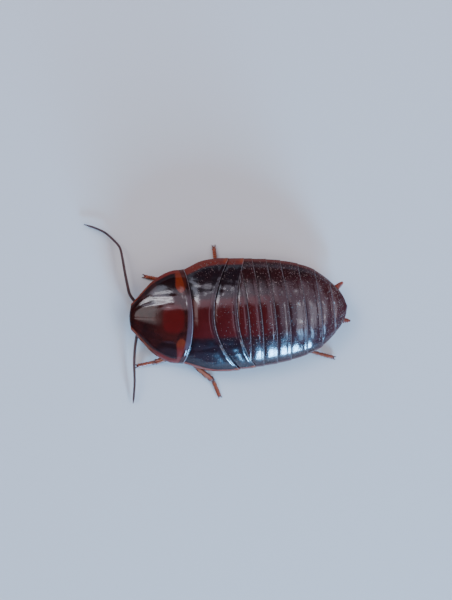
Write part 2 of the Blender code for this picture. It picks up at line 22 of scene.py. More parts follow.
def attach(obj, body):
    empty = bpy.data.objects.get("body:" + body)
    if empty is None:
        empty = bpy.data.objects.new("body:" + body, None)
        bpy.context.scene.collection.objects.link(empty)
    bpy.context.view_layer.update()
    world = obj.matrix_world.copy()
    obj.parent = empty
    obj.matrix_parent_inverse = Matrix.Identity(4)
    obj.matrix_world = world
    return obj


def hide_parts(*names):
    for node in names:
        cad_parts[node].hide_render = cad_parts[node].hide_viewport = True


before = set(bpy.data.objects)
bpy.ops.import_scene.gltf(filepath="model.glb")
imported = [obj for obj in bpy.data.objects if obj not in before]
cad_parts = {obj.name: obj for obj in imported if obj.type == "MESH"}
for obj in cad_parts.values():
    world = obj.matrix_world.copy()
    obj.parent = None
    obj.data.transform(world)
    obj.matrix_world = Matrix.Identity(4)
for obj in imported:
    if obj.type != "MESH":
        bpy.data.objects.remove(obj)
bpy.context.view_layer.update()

LOG = logging.getLogger("cockroach")
MM = 0.001
ROOT_BODY = "root"

Pair = tuple[float, float]
Triple = tuple[float, float, float]
Triples = tuple[Triple, ...]
Table = tuple[tuple[float, ...], ...]
SpineRows = tuple[tuple[float, tuple[float, ...]], ...]
Route = Sequence[Vector]
Layers = dict[str, np.ndarray]
Marks = Callable[[Layers], Layers]
Face = Callable[[float, float, bool], tuple]
Span = Callable[[float], float]

UP = Vector((0, 0, 1))
ACROSS = Vector((1, 0, 0))
# How strongly the rows of a plate crowd toward its hind edge.
ROW_CROWDING = 1.6


class Slot(Enum):
    """Names of the material slots."""

    HOOD = "hood_cuticle"
    BACK = "back_cuticle"
    BELLY = "belly_cuticle"
    LEG = "leg_cuticle"
    ANTENNA = "antenna_cuticle"
    EYE = "eye"
    MEMBRANE = "membrane"


class Side(Enum):
    """The animal's own left and right."""

    LEFT = 1
    RIGHT = -1

    @property
    def word(self) -> str:
        """The side's name as the nodes have it."""
        return self.name.lower()


def linear(code: str) -> tuple[float, float, float, float]:
    """Turns an sRGB hex colour into linear values.

    Args:
        code: Six hex digits after a hash.

    Returns:
        Red, green, blue and an alpha of one.
    """
    values = [int(code[i : i + 2], 16) / 255 for i in (1, 3, 5)]
    red, green, blue = (v / 12.92 if v <= 0.04045 else ((v + 0.055) / 1.055) ** 2.4 for v in values)
    return red, green, blue, 1.0


def per_size(millimetres: float) -> float:
    """Texture scale at which one feature has the given real size."""
    return 1.0 / (millimetres * MM)


def add_node(
    tree: bpy.types.NodeTree,
    kind: str,
    settings: dict[str | int, object] | None = None,
    links: dict[str | int, bpy.types.NodeSocket] | None = None,
) -> bpy.types.Node:
    """Adds a shader node with its settings and links.

    Args:
        tree: The material's or world's node tree.
        kind: The node's type name.
        settings: Values for the node's own properties, or for its inputs by name or number.
        links: Sockets to link to its inputs, by name or number.

    Returns:
        The new node.
    """
    node = tree.nodes.new(kind)
    for name, value in (settings or {}).items():
        if isinstance(name, str) and hasattr(node, name):
            setattr(node, name, value)
        else:
            node.inputs[name].default_value = value
    for name, socket in (links or {}).items():
        tree.links.new(socket, node.inputs[name])
    return node


@dataclass(frozen=True)
class Cuticle:
    """Insect chitin: a hard, waxed skin, coloured in depth, with marks that follow the body.

    Each tone is the name of a mark on the mesh and the colour that it brings. Mottle is the size of
    the cloudy change of tone, grain the size of the fine bosses, and swell the size of the slow
    dents that make reflections wander. Where a worn polish is given, the rim mark says where it is.
    """

    name: str
    ground: str
    shade: str
    tones: tuple[tuple[str, str], ...] = ()
    roughness: Pair = (0.18, 0.32)
    ior: float = 1.52
    coat: float = 0.0
    coat_roughness: float = 0.08
    mottle: float = 1.6
    grain: float = 0.32
    grain_depth: float = 0.02
    grain_everywhere: float = 0.25
    swell: float = 2.6
    swell_depth: float = 0.05
    polish: float = 0.5
    worn_polish: float | None = None

    def build(self) -> bpy.types.Material:
        """Makes the material.

        Returns:
            The finished material.
        """
        material = bpy.data.materials.new(self.name)
        material.use_nodes = True
        tree = material.node_tree
        shader = tree.nodes["Principled BSDF"]
        place = add_node(tree, "ShaderNodeTexCoord").outputs["Object"]
        cloud = add_node(
            tree, "ShaderNodeTexNoise", {"Scale": per_size(self.mottle), "Detail": 5.0}, {"Vector": place}
        ).outputs["Fac"]
        spread = add_node(
            tree, "ShaderNodeMapRange", {1: 0.32, 2: 0.68, 3: 0.0, 4: 1.0}, {0: cloud}
        ).outputs["Result"]
        colour = add_node(
            tree,
            "ShaderNodeMixRGB",
            {"Color1": linear(self.ground), "Color2": linear(self.shade)},
            {"Fac": spread},
        ).outputs["Color"]
        for mark, tint in self.tones:
            mask = add_node(tree, "ShaderNodeAttribute", {"attribute_name": mark}).outputs["Fac"]
            worn = add_node(tree, "ShaderNodeMapRange", {1: 0.3, 2: 0.7, 3: 0.78, 4: 1.08}, {0: cloud})
            weight = add_node(
                tree,
                "ShaderNodeMath",
                {"operation": "MULTIPLY", "use_clamp": True},
                {0: mask, 1: worn.outputs["Result"]},
            ).outputs["Value"]
            colour = add_node(
                tree, "ShaderNodeMixRGB", {"Color2": linear(tint)}, {"Fac": weight, "Color1": colour}
            ).outputs["Color"]
        tree.links.new(colour, shader.inputs["Base Color"])
        low, high = self.roughness
        gloss = add_node(tree, "ShaderNodeMapRange", {1: 0.3, 2: 0.7, 3: low, 4: high}, {0: cloud})
        tree.links.new(gloss.outputs["Result"], shader.inputs["Roughness"])
        plain = {"IOR": self.ior, "Coat Weight": self.coat, "Coat Roughness": self.coat_roughness}
        for name, value in {**plain, "Specular IOR Level": self.polish}.items():
            shader.inputs[name].default_value = value
        if self.worn_polish is not None:
            rim = add_node(tree, "ShaderNodeAttribute", {"attribute_name": "rim"}).outputs["Fac"]
            worn = add_node(tree, "ShaderNodeMapRange", {3: self.polish, 4: self.worn_polish}, {0: rim})
            tree.links.new(worn.outputs["Result"], shader.inputs["Specular IOR Level"])
        tree.links.new(self.relief(tree, place), shader.inputs["Normal"])
        return material

    def relief(self, tree: bpy.types.NodeTree, place: bpy.types.NodeSocket) -> bpy.types.NodeSocket:
        """Adds the slow swells and the fine grain.

        Args:
            tree: The material's node tree.
            place: Coordinates on the piece.

        Returns:
            The socket of the bent normal.
        """
        swells = add_node(
            tree, "ShaderNodeTexNoise", {"Scale": per_size(self.swell), "Detail": 1.5}, {"Vector": place}
        ).outputs["Fac"]
        slow = add_node(
            tree, "ShaderNodeBump", {"Distance": self.swell_depth * MM, "Strength": 1.0}, {"Height": swells}
        ).outputs["Normal"]
        bosses = add_node(
            tree,
            "ShaderNodeTexVoronoi",
            {"feature": "SMOOTH_F1", "Scale": per_size(self.grain), "Smoothness": 0.6},
            {"Vector": place},
        ).outputs["Distance"]
        roughened = add_node(tree, "ShaderNodeAttribute", {"attribute_name": "grain"}).outputs["Fac"]
        strength = add_node(
            tree,
            "ShaderNodeMath",
            {"operation": "ADD", "use_clamp": True, 1: self.grain_everywhere},
            {0: roughened},
        ).outputs["Value"]
        return add_node(
            tree,
            "ShaderNodeBump",
            {"Distance": self.grain_depth * MM, "invert": True},
            {"Height": bosses, "Strength": strength, "Normal": slow},
        ).outputs["Normal"]


# Thick polished chitin of the pronotum: a wet-looking dark red with the light coming up through it.
HOOD = Cuticle(
    name="polished_pronotum_chitin",
    ground="#3d1512",
    shade="#220b0b",
    tones=(
        ("brown", "#3f1411"), ("patch", "#1a0c0f"), ("disc", "#521110"), ("margin", "#661e1a"),
        ("rust", "#6c2a18"), ("corner", "#66201a"), ("bar", "#6b2813"), ("line", "#1c1012"),
        # The mauve tone is a painted reflection: the grey-mauve sheen of a pale sky on the hind band.
        ("mauve", "#4c3a40"), ("lip", "#7c6f70"),
    ),
    roughness=(0.09, 0.15),
    grain_depth=0.006,
    grain_everywhere=0.3,
    swell_depth=0.012,
    worn_polish=0.1,
)

# Sclerotised chitin of the back: mahogany black, red where the body shows through on the midline.
BACK = Cuticle(
    name="mahogany_back_chitin",
    ground="#321416",
    shade="#210d10",
    tones=(
        # The mauve tone is a painted reflection: the grey-mauve sheen of a pale sky on the crest and hind
        # edges.
        ("patch", "#180f16"), ("disc", "#481112"), ("mauve", "#3a1d22"), ("margin", "#78291b"),
        ("bar", "#7c3217"), ("lip", "#786c6a"),
    ),
    roughness=(0.12, 0.23),
    grain_depth=0.016,
    grain_everywhere=0.15,
    swell_depth=0.015,
    worn_polish=0.1,
)

# Tips of the bosses: the same chitin, painted paler as a painted highlight of the glint that each catches,
# and so smooth that each catches the light.
GLINT_PAINTED_BOSS = Cuticle(
    name="rubbed_boss_chitin",
    ground="#544240",
    shade="#83736d",
    roughness=(0.06, 0.12),
    mottle=0.5,
    grain_depth=0.0,
    grain_everywhere=0.0,
    swell_depth=0.0,
)

# Thinner chitin of the belly: red-brown and satin, paler toward the hind edge of each plate.
BELLY = Cuticle(
    name="satin_belly_chitin",
    ground="#4a1d10",
    shade="#331109",
    tones=(("lip", "#8a5836"), ("margin", "#24100c")),
    roughness=(0.3, 0.42),
    grain_depth=0.015,
)

# Leg chitin: orange-brown and waxy, darker at the joints and spines.
LEG = Cuticle(
    name="waxy_leg_chitin",
    ground="#8a3519",
    shade="#6b2512",
    tones=(("tip", "#45180d"), ("pale", "#b8683c")),
    roughness=(0.26, 0.4),
    mottle=0.9,
    grain=0.18,
    grain_depth=0.01,
    swell=1.2,
    swell_depth=0.02,
)

# Spine and claw chitin: the hardest of all, nearly black and glassy at the tips.
SPINE = Cuticle(
    name="hard_spine_chitin",
    ground="#7a3018",
    shade="#5a2010",
    tones=(("tip", "#240c07"),),
    roughness=(0.18, 0.26),
    mottle=0.6,
    grain_depth=0.004,
    swell_depth=0.0,
)

# Feeler chitin: matt purplish brown from the down of sense hairs on every ring.
FEELER = Cuticle(
    name="downy_feeler_chitin",
    ground="#5a3733",
    shade="#442927",
    tones=(("tip", "#301b1a"), ("pale", "#7a4636")),
    roughness=(0.45, 0.6),
    mottle=0.7,
    grain=0.08,
    grain_depth=0.008,
    swell_depth=0.0,
)

# Compound eye: black, glassy facets, drawn a little coarser than the real ones so that they show.
EYE = Cuticle(
    name="faceted_eye_cornea",
    ground="#0b0809",
    shade="#150e10",
    roughness=(0.1, 0.16),
    coat=0.6,
    coat_roughness=0.05,
    grain=0.09,
    grain_depth=0.02,
    grain_everywhere=1.0,
    swell_depth=0.0,
)

# Arthrodial membrane: soft, pale and creased skin between the hard plates.
MEMBRANE = Cuticle(
    name="creased_joint_membrane",
    ground="#7e4e38",
    shade="#5e3526",
    tones=(("tip", "#3e2018"),),
    roughness=(0.5, 0.65),
    mottle=0.8,
    grain=0.22,
    grain_depth=0.04,
    grain_everywhere=0.8,
    swell=0.7,
    swell_depth=0.08,
)


@cache
def material_of(finish: Cuticle) -> bpy.types.Material:
    """Builds the material of a finish once."""
    return finish.build()


def publish(
    bm: BMesh,
    name: str,
    finish: Cuticle,
    nodes: Sequence[str] = (),
    marks: Marks | None = None,
    crease: float = 50.0,
) -> bpy.types.Object:
    """Turns a bmesh into a piece of the model that rides on the frame.

    Args:
        bm: The piece in metres, in the frame's own space. It is freed.
        name: The piece's name.
        finish: Its finish.
        nodes: The frame's nodes that it stands for.
        marks: Works out the colour marks from the mesh's own float layers.
        crease: Faces that meet at a sharper angle than this, in degrees, keep a hard edge.

    Returns:
        The finished object.
    """
    bmesh.ops.recalc_face_normals(bm, faces=bm.faces)
    mesh = bpy.data.meshes.new(name)
    bm.to_mesh(mesh)
    bm.free()
    mesh.materials.append(material_of(finish))
    mesh.shade_smooth()
    mesh.set_sharp_from_angle(angle=math.radians(crease))
    if marks:
        layers = {}
        for layer in mesh.attributes:
            if layer.data_type == "FLOAT" and layer.domain == "POINT":
                values = np.zeros(len(mesh.vertices), np.float32)
                layer.data.foreach_get("value", values)
                layers[layer.name] = values
        for mark, values in marks(layers).items():
            target = mesh.attributes.new(mark, "FLOAT", "POINT")
            target.data.foreach_set("value", np.clip(values, 0.0, 1.0).astype(np.float32))
    piece = bpy.data.objects.new(name, mesh)
    bpy.context.scene.collection.objects.link(piece)
    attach(piece, ROOT_BODY)
    if nodes:
        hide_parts(*nodes)
    LOG.info("%s: %d faces, %s", name, len(mesh.polygons), finish.name)
    return piece


def plateau(values: np.ndarray, low: float, high: float, soft: float) -> np.ndarray:
    """Mask that is one between two values and fades over a soft width outside them.

    Args:
        values: Where to read the mask.
        low: Start of the plateau.
        high: End of the plateau.
        soft: Width over which it fades, on either side.

    Returns:
        The mask, from zero to one.
    """
    rise = np.clip((values - low) / soft + 1.0, 0.0, 1.0)
    fall = np.clip((high - values) / soft + 1.0, 0.0, 1.0)
    both = rise * fall
    return both * both * (3.0 - 2.0 * both)


def bell(offset: float, width: float) -> float:
    """Smooth bump of height one at no offset."""
    return math.exp(-((offset / width) ** 2))


def bump(feature: Triple, offset: float) -> float:
    """Height at an offset of a bead or groove, which is given as its height, place and width."""
    height, place, width = feature
    return height * bell(offset - place, width)


def smooth(value: float) -> float:
    """Soft step from zero to one as the value goes from zero to one."""
    value = min(1.0, max(0.0, value))
    return value * value * (3 - 2 * value)


def smooth_array(values: np.ndarray) -> np.ndarray:
    """Soft step of each of many values."""
    values = np.clip(values, 0.0, 1.0)
    return values * values * (3.0 - 2.0 * values)


def around(first: Vector, second: Vector, angle: float) -> Vector:
    """Direction at an angle from the first of two directions toward the second."""
    return first * math.cos(angle) + second * math.sin(angle)


@dataclass(frozen=True)
class BodyPlan:
    """The domed, slightly leaning body that every plate follows."""

    origin_station: float = 29.5
    bend_start: float = 10.9
    bend_ease: float = 4.0
    midline_lean: float = math.radians(4.0)
    section_turn: float = math.radians(7.5)
    roundness: float = 2.2
    shoulder: float = 0.8
    brim_fill: float = 0.4
    brim_start: float = 0.5
    brim_ease: float = 0.42
    rim_ease: float = 0.6
    # Station, half width, height of the crest and height of the side edge.
    sections: tuple[tuple[float, float, float, float], ...] = (
        (0.0, 2.2, 3.9, 2.9),
        (1.0, 3.2, 4.7, 3.0),
        (2.2, 4.6, 5.4, 3.05),
        (4.7, 7.2, 6.6, 3.2),
        (7.9, 9.0, 7.9, 3.3),
        (10.7, 9.4, 8.75, 3.3),
        (12.6, 10.1, 9.15, 3.3),
        (15.0, 10.95, 9.45, 3.3),
        (18.2, 11.3, 9.7, 3.3),
        (22.0, 11.15, 9.8, 3.3),
        (27.0, 10.7, 9.7, 3.3),
        (31.0, 10.15, 9.25, 3.3),
        (34.5, 9.3, 8.5, 3.35),
        (37.7, 7.95, 7.45, 3.4),
        (40.6, 5.6, 6.2, 3.45),
        (42.6, 3.3, 5.1, 3.5),
        (44.0, 0.6, 4.2, 3.6),
    )
    pronotum_end: float = 11.8
    mesonotum_end: float = 15.96
    metanotum_end: float = 20.56
    tergite_ends: tuple[float, ...] = (22.75, 25.3, 28.1, 30.9, 34.4, 37.7, 40.6)
    corner_rise: float = 1.1
    nose_rounding: float = 0.35
    mesonotum_pad: float = 5.0
    metanotum_pad: float = 3.6
    tail_end: float = 43.78
    tail_rounding: float = 0.68

    def section(self, station: float) -> Triple:
        """Reads the body's section at a station, by cubic curves through the rows.

        Args:
            station: Distance behind the front edge.

        Returns:
            Half width, height of the crest and height of the side edge.
        """
        rows = self.sections
        station = min(max(station, rows[0][0]), rows[-1][0])
        index = next(i for i in range(len(rows) - 1) if station <= rows[i + 1][0])
        before, after = max(index - 1, 0), min(index + 2, len(rows) - 1)
        span = rows[index + 1][0] - rows[index][0]
        t = (station - rows[index][0]) / span
        values = []
        for column in (1, 2, 3):
            start, end = rows[index][column], rows[index + 1][column]
            slope_in = (end - rows[before][column]) / (rows[index + 1][0] - rows[before][0]) * span
            slope_out = (rows[after][column] - start) / (rows[after][0] - rows[index][0]) * span
            values.append(
                start * (2 * t**3 - 3 * t**2 + 1)
                + slope_in * (t**3 - 2 * t**2 + t)
                + end * (3 * t**2 - 2 * t**3)
                + slope_out * (t**3 - t**2)
            )
        return values[0], values[1], values[2]

    def place(self, station: float, side: float, height: float) -> Vector:
        """Finds a point of the leaning body.

        Args:
            station: Distance behind the front edge.
            side: Distance to the left of the midline.
            height: Height over the floor.

        Returns:
            The point in metres.
        """
        past = max(0.0, station - self.bend_start)
        eased = 1 - math.exp(-past / self.bend_ease)
        shift = -math.tan(self.midline_lean) * (past - self.bend_ease * eased)
        turn = self.section_turn * eased
        x = shift + side * math.cos(turn)
        y = station + side * math.sin(turn) - self.origin_station
        return Vector((x, y, height)) * MM

    def free(self, point: Sequence[float]) -> Vector:
        """Point in metres of (side, station, height) off the leaning body."""
        return Vector((point[0], point[1] - self.origin_station, point[2])) * MM

    def arch(self, across: float) -> float:
        """Share of the dome's height at a share of its half width."""
        return max(0.0, 1 - abs(across) ** self.roundness) ** self.shoulder

    def dome(self, station: float, across: float) -> float:
        """Finds the height of the back, a little fuller just inside the rim than a plain arch.

        Args:
            station: Distance behind the front edge.
            across: Share of the half width.

        Returns:
            Height over the floor.
        """
        half, crest, edge = self.section(station)
        inward = (1 - abs(across)) * half
        fullness = smooth((abs(across) - self.brim_start) / self.brim_ease)
        brim = self.brim_fill * fullness * smooth(inward / self.rim_ease)
        return edge + (crest - edge) * self.arch(across) + brim

    def pronotum_hind(self, across: float) -> float:
        """Hind edge of the pronotum."""
        return self.pronotum_end - self.corner_rise * abs(across) ** self.roundness

    def mesonotum_hind(self, across: float) -> float:
        """Hind edge of the mesonotum with its wing pads."""
        return self.mesonotum_end + self.mesonotum_pad * across**2

    def metanotum_hind(self, across: float) -> float:
        """Hind edge of the metanotum with its wing pads."""
        return self.metanotum_end + self.metanotum_pad * abs(across) ** self.roundness


PLAN = BodyPlan()


def slab(columns: int, rows: int, face: Face) -> BMesh:
    """Closed plate between an upper and a lower face.

    Args:
        columns: Divisions across, closer together at the sides.
        rows: Divisions along, closer together toward the hind edge.
        face: Gives a point and the numbers kept with it, from a share across, a share along and
            whether it is on the upper face.

    Returns:
        The plate, with what its faces give kept in float layers.
    """
    bm = bmesh.new()
    names = ("across", "along", "outer", "station", "reach", "behind")
    layers = [bm.verts.layers.float.new(name) for name in names]
    bmesh.ops.create_grid(bm, x_segments=columns, y_segments=rows, size=1.0)
    under = bm.verts[:]
    raised = bmesh.ops.extrude_face_region(bm, geom=bm.faces[:])["geom"]
    over = [item for item in raised if isinstance(item, BMVert)]
    for verts, upper in ((under, False), (over, True)):
        for vert in verts:
            across = math.sin(vert.co.x * math.pi / 2)
            along = 1 - ((1 - vert.co.y) / 2) ** ROW_CROWDING
            vert.co, *kept = face(across, along, upper)
            for layer, value in zip(layers, (across, along, float(upper), *kept)):
                vert[layer] = value
    return bm


@dataclass(frozen=True)
class Ring:
    """One cross-section of a swept form: its centre in metres, two directions and two half sizes."""

    centre: Vector
    side: Vector
    up: Vector
    half_side: float
    half_up: float


def sweep(bm: BMesh, rings: Sequence[Ring], sides: int) -> list[BMVert]:
    """Closed skin through rings, made by extruding an end cap from each ring to the next.

    Args:
        bm: Where to add it. Its float layers turn and along are filled.
        rings: The cross-sections, in order.
        sides: Corners of each ring.

    Returns:
        The new vertices.
    """
    turn = bm.verts.layers.float.get("turn") or bm.verts.layers.float.new("turn")
    along = bm.verts.layers.float.get("along") or bm.verts.layers.float.new("along")
    added = bmesh.ops.create_circle(bm, cap_ends=True, segments=sides, radius=1.0)["verts"]
    for vert in added:
        vert[turn] = math.atan2(vert.co.y, vert.co.x)
    cap = added[0].link_faces[0]
    verts = list(added)
    for number, ring in enumerate(rings):
        if number:
            grown = bmesh.ops.extrude_face_region(bm, geom=[cap])["geom"]
            cap = next(item for item in grown if isinstance(item, bmesh.types.BMFace))
            verts.extend(cap.verts)
        for vert in cap.verts:
            offset = ring.side * (ring.half_side * math.cos(vert[turn]))
            offset += ring.up * (ring.half_up * math.sin(vert[turn]))
            vert.co = ring.centre + offset * MM
            vert[along] = number / (len(rings) - 1)
    return verts


def smooth_route(points: Sequence[Sequence[float]], pieces: int) -> list[Vector]:
    """Points along a smooth curve through a route's own points.

    Args:
        points: The route, in any units.
        pieces: Steps from each point to the next.

    Returns:
        The points of the curve.
    """
    own = [Vector(p) for p in points]
    ends = [own[0] * 2 - own[1], *own, own[-1] * 2 - own[-2]]
    route = []
    for a, b, c, d in zip(ends, ends[1:], ends[2:], ends[3:]):
        bend = a * 2 - b * 5 + c * 4 - d
        twist = b * 3 - a - c * 3 + d
        for i in range(pieces):
            t = i / pieces
            route.append((b * 2 + (c - a) * t + bend * t**2 + twist * t**3) / 2)
    return [*route, own[-1]]


def even_route(route: Route, ends: Sequence[float]) -> list[Vector]:
    """Points at given shares of a route's length.

    Args:
        route: Points close together.
        ends: Shares from zero to one, rising.

    Returns:
        One point for each share.
    """
    lengths = [0.0]
    for a, b in zip(route, route[1:]):
        lengths.append(lengths[-1] + (b - a).length)
    points = []
    index = 0
    for share in ends:
        reach = share * lengths[-1]
        while index < len(route) - 2 and lengths[index + 1] < reach:
            index += 1
        span = lengths[index + 1] - lengths[index]
        points.append(route[index].lerp(route[index + 1], (reach - lengths[index]) / span))
    return points


def rings_along(points: Route, radii: Sequence[Pair]) -> list[Ring]:
    """Upright rings along a route off the body.

    Args:
        points: Centres as (side, station, height) in millimetres.
        radii: Half width and half thickness at each.

    Returns:
        The rings.
    """
    rings = []
    for i, (point, (wide, thick)) in enumerate(zip(points, radii)):
        ahead = points[min(i + 1, len(points) - 1)] - points[max(i - 1, 0)]
        side = ahead.cross(UP).normalized()
        rings.append(Ring(PLAN.free(point), side, side.cross(ahead).normalized(), wide, thick))
    return rings


def add_hair(bm: BMesh, root: Vector, tip: Vector, radius: float) -> None:
    """Adds one straight bristle of three sides.

    Args:
        bm: Where to add it.
        root: Its root as (side, station, height), in millimetres.
        tip: Its tip, the same.
        radius: Its radius at the root.
    """
    lean = (tip - root).to_track_quat("Z", "Y").to_matrix().to_4x4()
    bmesh.ops.create_cone(
        bm,
        cap_ends=True,
        segments=3,
        radius1=radius * MM,
        radius2=0.0,
        depth=(tip - root).length * MM,
        matrix=Matrix.Translation(PLAN.free((root + tip) / 2)) @ lean,
    )


@dataclass(frozen=True)
class Plate:
    """One shell plate of the back: where it starts and ends, and how it is shaped and sunk.

    Its front sinks by the step under the plate before it, its hind edge turns down by the roll, it
    takes a share of the half width, and a floored one is filled down to a flat underside.
    """

    name: str
    rows: int
    front: Span
    hind: Span
    relief: Callable[[float, float, float], float]
    marks: Marks
    step: float
    roll: float = 0.1
    roll_width: float = 0.6
    share: float = 1.0
    floored: bool = False
    finish: Cuticle = BACK
    slot: Slot = Slot.BACK


@dataclass(frozen=True)
class BackPlates:
    """The shell plates of the back: pronotum, the two notums with wing pads, and the tergites.

    In the colour marks each plateau is given as from, to and fade, in millimetres on the plate.
    """

    columns: int = 120
    thickness: float = 0.28
    overlap: float = 0.9
    dip_power: float = 5.0
    mesonotum_step: float = 0.66
    metanotum_step: float = 0.5
    tergite_1_step: float = 0.34
    tergite_step: float = 0.26
    side_flare: float = 0.14
    flare_start: float = 0.6
    corner_point: float = 0.45
    # The fold at a wing pad's root: its side at a station, and how far it nears the midline.
    fold_side: float = 5.9
    fold_station: float = 15.0
    fold_lean: float = 0.12
    # Beads and grooves: height, distance from the rim, fold, hind edge or midline, and width.
    rim_bead: Triple = (0.1, 0.14, 0.2)
    gutter: Triple = (-0.08, 0.75, 0.35)
    hind_bead: Triple = (0.06, 0.2, 0.14)
    hood_groove: Triple = (-0.05, 1.3, 0.28)
    hood_seam: Triple = (-0.02, 0.0, 0.14)
    pad_fold: Triple = (-0.04, 0.0, 0.35)
    pad_swelling: Triple = (0.04, 0.9, 0.5)
    pad_bead: Triple = (0.17, 0.75, 0.5)
    notum_furrow: Triple = (-0.04, 0.95, 0.16)
    notum_seam: Triple = (-0.02, 0.0, 0.12)
    tergite_furrow: Triple = (-0.035, 0.75, 0.16)
    vein_height: float = 0.012
    wrinkle_height: float = 0.008
    # Low ridges of the pronotum: height, side of the root, lean outward, width and first station.
    ridges: Table = ((0.06, 1.6, 0.21, 0.42, 1.2), (0.05, 3.8, 0.07, 0.32, 3.6))
    ridge_ease: float = 1.5
    ridges_end: float = 9.4
    ridges_fade: float = 1.6
    # A dent or swelling of the pronotum: height, station, side, half length and half width.
    scar: tuple[float, ...] = (-0.07, 7.0, 2.9, 1.05, 0.75)
    lobe: tuple[float, ...] = (0.07, 9.7, 7.2, 1.1, 1.76)
    tergite_1_share: float = 0.85
    tergite_floor: float = 0.5
    floor_inset: float = 0.05
    # Least visible length of a plate, and how steeply it sinks further under the one before.
    least_visible: float = 0.8
    slide: float = 0.25
    # Inner face of an open plate: its wall on the crest, its drop at the rim and its inset.
    wall: float = 0.75
    wall_ease: float = 0.8
    lining_drop: float = 0.35
    lining_inset: float = 0.45
    # Inner ends of the orange bars on the right and on the left.
    bar_starts: Pair = (5.3, 4.0)
    # Lengths of the orange part of the bars on the right and on the left; the difference between the sides
    # is painted light and shade.
    hot_lengths: Pair = (2.8, 0.9)
    # Widest red margin on the right and on the left; the narrower right margin is painted shade on the side
    # that the light misses.
    margin_widths: Pair = (0.5, 1.05)
    # Rusty margin beside the nose, on the right and on the left, narrower on the right as painted shade.
    front_margin_widths: Pair = (0.25, 0.65)

    def margins(self, station: float, reach: float, behind: float) -> float:
        """Height of the beads and gutter of a plate's margins over the plain dome."""
        inward = (1 - abs(reach)) * PLAN.section(station)[0]
        return bump(self.rim_bead, inward) + bump(self.gutter, inward) + bump(self.hind_bead, behind)

    def spot(self, form: Sequence[float], station: float, side: float) -> float:
        """Height at a point of a round dent or swelling."""
        height, centre, out, length, width = form
        return height * bell(math.hypot((station - centre) / length, (side - out) / width), 1.0)

    def pronotum_relief(self, station: float, reach: float, behind: float) -> float:
        """Height of the pronotum's margins, ridges, muscle scars and swollen hind corners.

        Args:
            station: Distance behind the front edge.
            reach: Share of the half width.
            behind: Distance to the plate's hind edge.

        Returns:
            The height over the plain dome.
        """
        side = abs(reach) * PLAN.section(station)[0]
        ridge = 0.0
        for height, root, lean, width, first in self.ridges:
            eased = smooth((station - first) / self.ridge_ease)
            ridge += height * bell(side - root - lean * station, width) * eased
        ridge *= smooth((self.ridges_end - station) / self.ridges_fade)
        spots = self.spot(self.scar, station, side) + self.spot(self.lobe, station, side)
        lines = bump(self.hood_groove, behind) + bump(self.hood_seam, side)
        return self.margins(station, reach, behind) + ridge + spots + lines

    def notum_relief(self, station: float, reach: float, behind: float) -> float:
        """Height of a notum's margins, of the fold at each wing pad's root and of the pad's veins.

        Args:
            station: Distance behind the front edge.
            reach: Share of the half width.
            behind: Distance to the plate's hind edge.

        Returns:
            The height over the plain dome.
        """
        side = abs(reach) * PLAN.section(station)[0]
        outward = side - (self.fold_side - self.fold_lean * (station - self.fold_station))
        fold = bump(self.pad_fold, outward) + bump(self.pad_swelling, outward)
        pad = smooth(outward - 0.6)
        veins = self.vein_height * pad * math.sin(side * 5.2 + station * 1.3)
        bead = bump(self.pad_bead, behind) * smooth((outward + 1.2) / 1.2)
        furrow = bump(self.notum_furrow, behind) * (1 - pad)
        seam = bump(self.notum_seam, side)
        return self.margins(station, reach, behind) + fold + veins + bead + furrow + seam

    def tergite_relief(self, station: float, reach: float, behind: float) -> float:
        """Height of a tergite's margins, of the furrow before its hind edge and of its wrinkles.

        Args:
            station: Distance behind the front edge.
            reach: Share of the half width.
            behind: Distance to the plate's hind edge.

        Returns:
            The height over the plain dome.
        """
        side = reach * PLAN.section(station)[0]
        wrinkle = self.wrinkle_height * noise.noise(Vector((side * 0.5, station * 2.6, 7.0)))
        return self.margins(station, reach, behind) + bump(self.tergite_furrow, behind) + wrinkle

    def plate(self, plate: Plate) -> None:
        """Makes one plate whose front slides under the plate before it.

        Args:
            plate: What it is to be.
        """
        flare = self.side_flare if plate.step else 0.0

        def face(across: float, along: float, upper: bool) -> tuple:
            """Shapes the outer and the inner face.

            Args:
                across: Share from right to left, -1 to 1.
                along: Share from front to hind.
                upper: Whether it is the outer face.

            Returns:
                The point, its station, its share of the half width and its distance to the hind edge.
            """
            reach = across * plate.share
            start, end = plate.front(reach), plate.hind(reach)
            station = start + (end - start) * along
            behind = (1 - along) * (end - start)
            visible = max(end - start - self.overlap, self.least_visible)
            sunk = plate.step * min(1.0, behind / visible) ** self.dip_power
            sunk += self.slide * max(0.0, behind - visible) if plate.step else 0.0
            near = max(0.0, 1 - behind / plate.roll_width)
            rolled = plate.roll * near * near
            half, crest, edge = PLAN.section(station)
            if upper:
                half += flare * (along - self.flare_start)
                height = PLAN.dome(station, reach) - sunk - rolled + plate.relief(station, reach, behind)
            elif plate.floored:
                half -= self.floor_inset
                height = edge - self.tergite_floor
            else:
                half -= self.lining_inset
                drop = self.lining_drop
                thin = self.wall - (self.wall - self.thickness) * bell(behind, self.wall_ease)
                height = edge - drop + (crest - edge - (thin - drop)) * PLAN.arch(reach) - sunk - rolled
            return PLAN.place(station, reach * half, height), station, reach, behind

        bm = slab(self.columns, plate.rows, face)
        publish(bm, plate.name, plate.finish, [plate.name], plate.marks, crease=62.0)

    def pointed(self, end: float, reach: float) -> float:
        """Hind edge of a tergite, drawn out a little at its corners."""
        return end + self.corner_point * abs(reach) ** 9

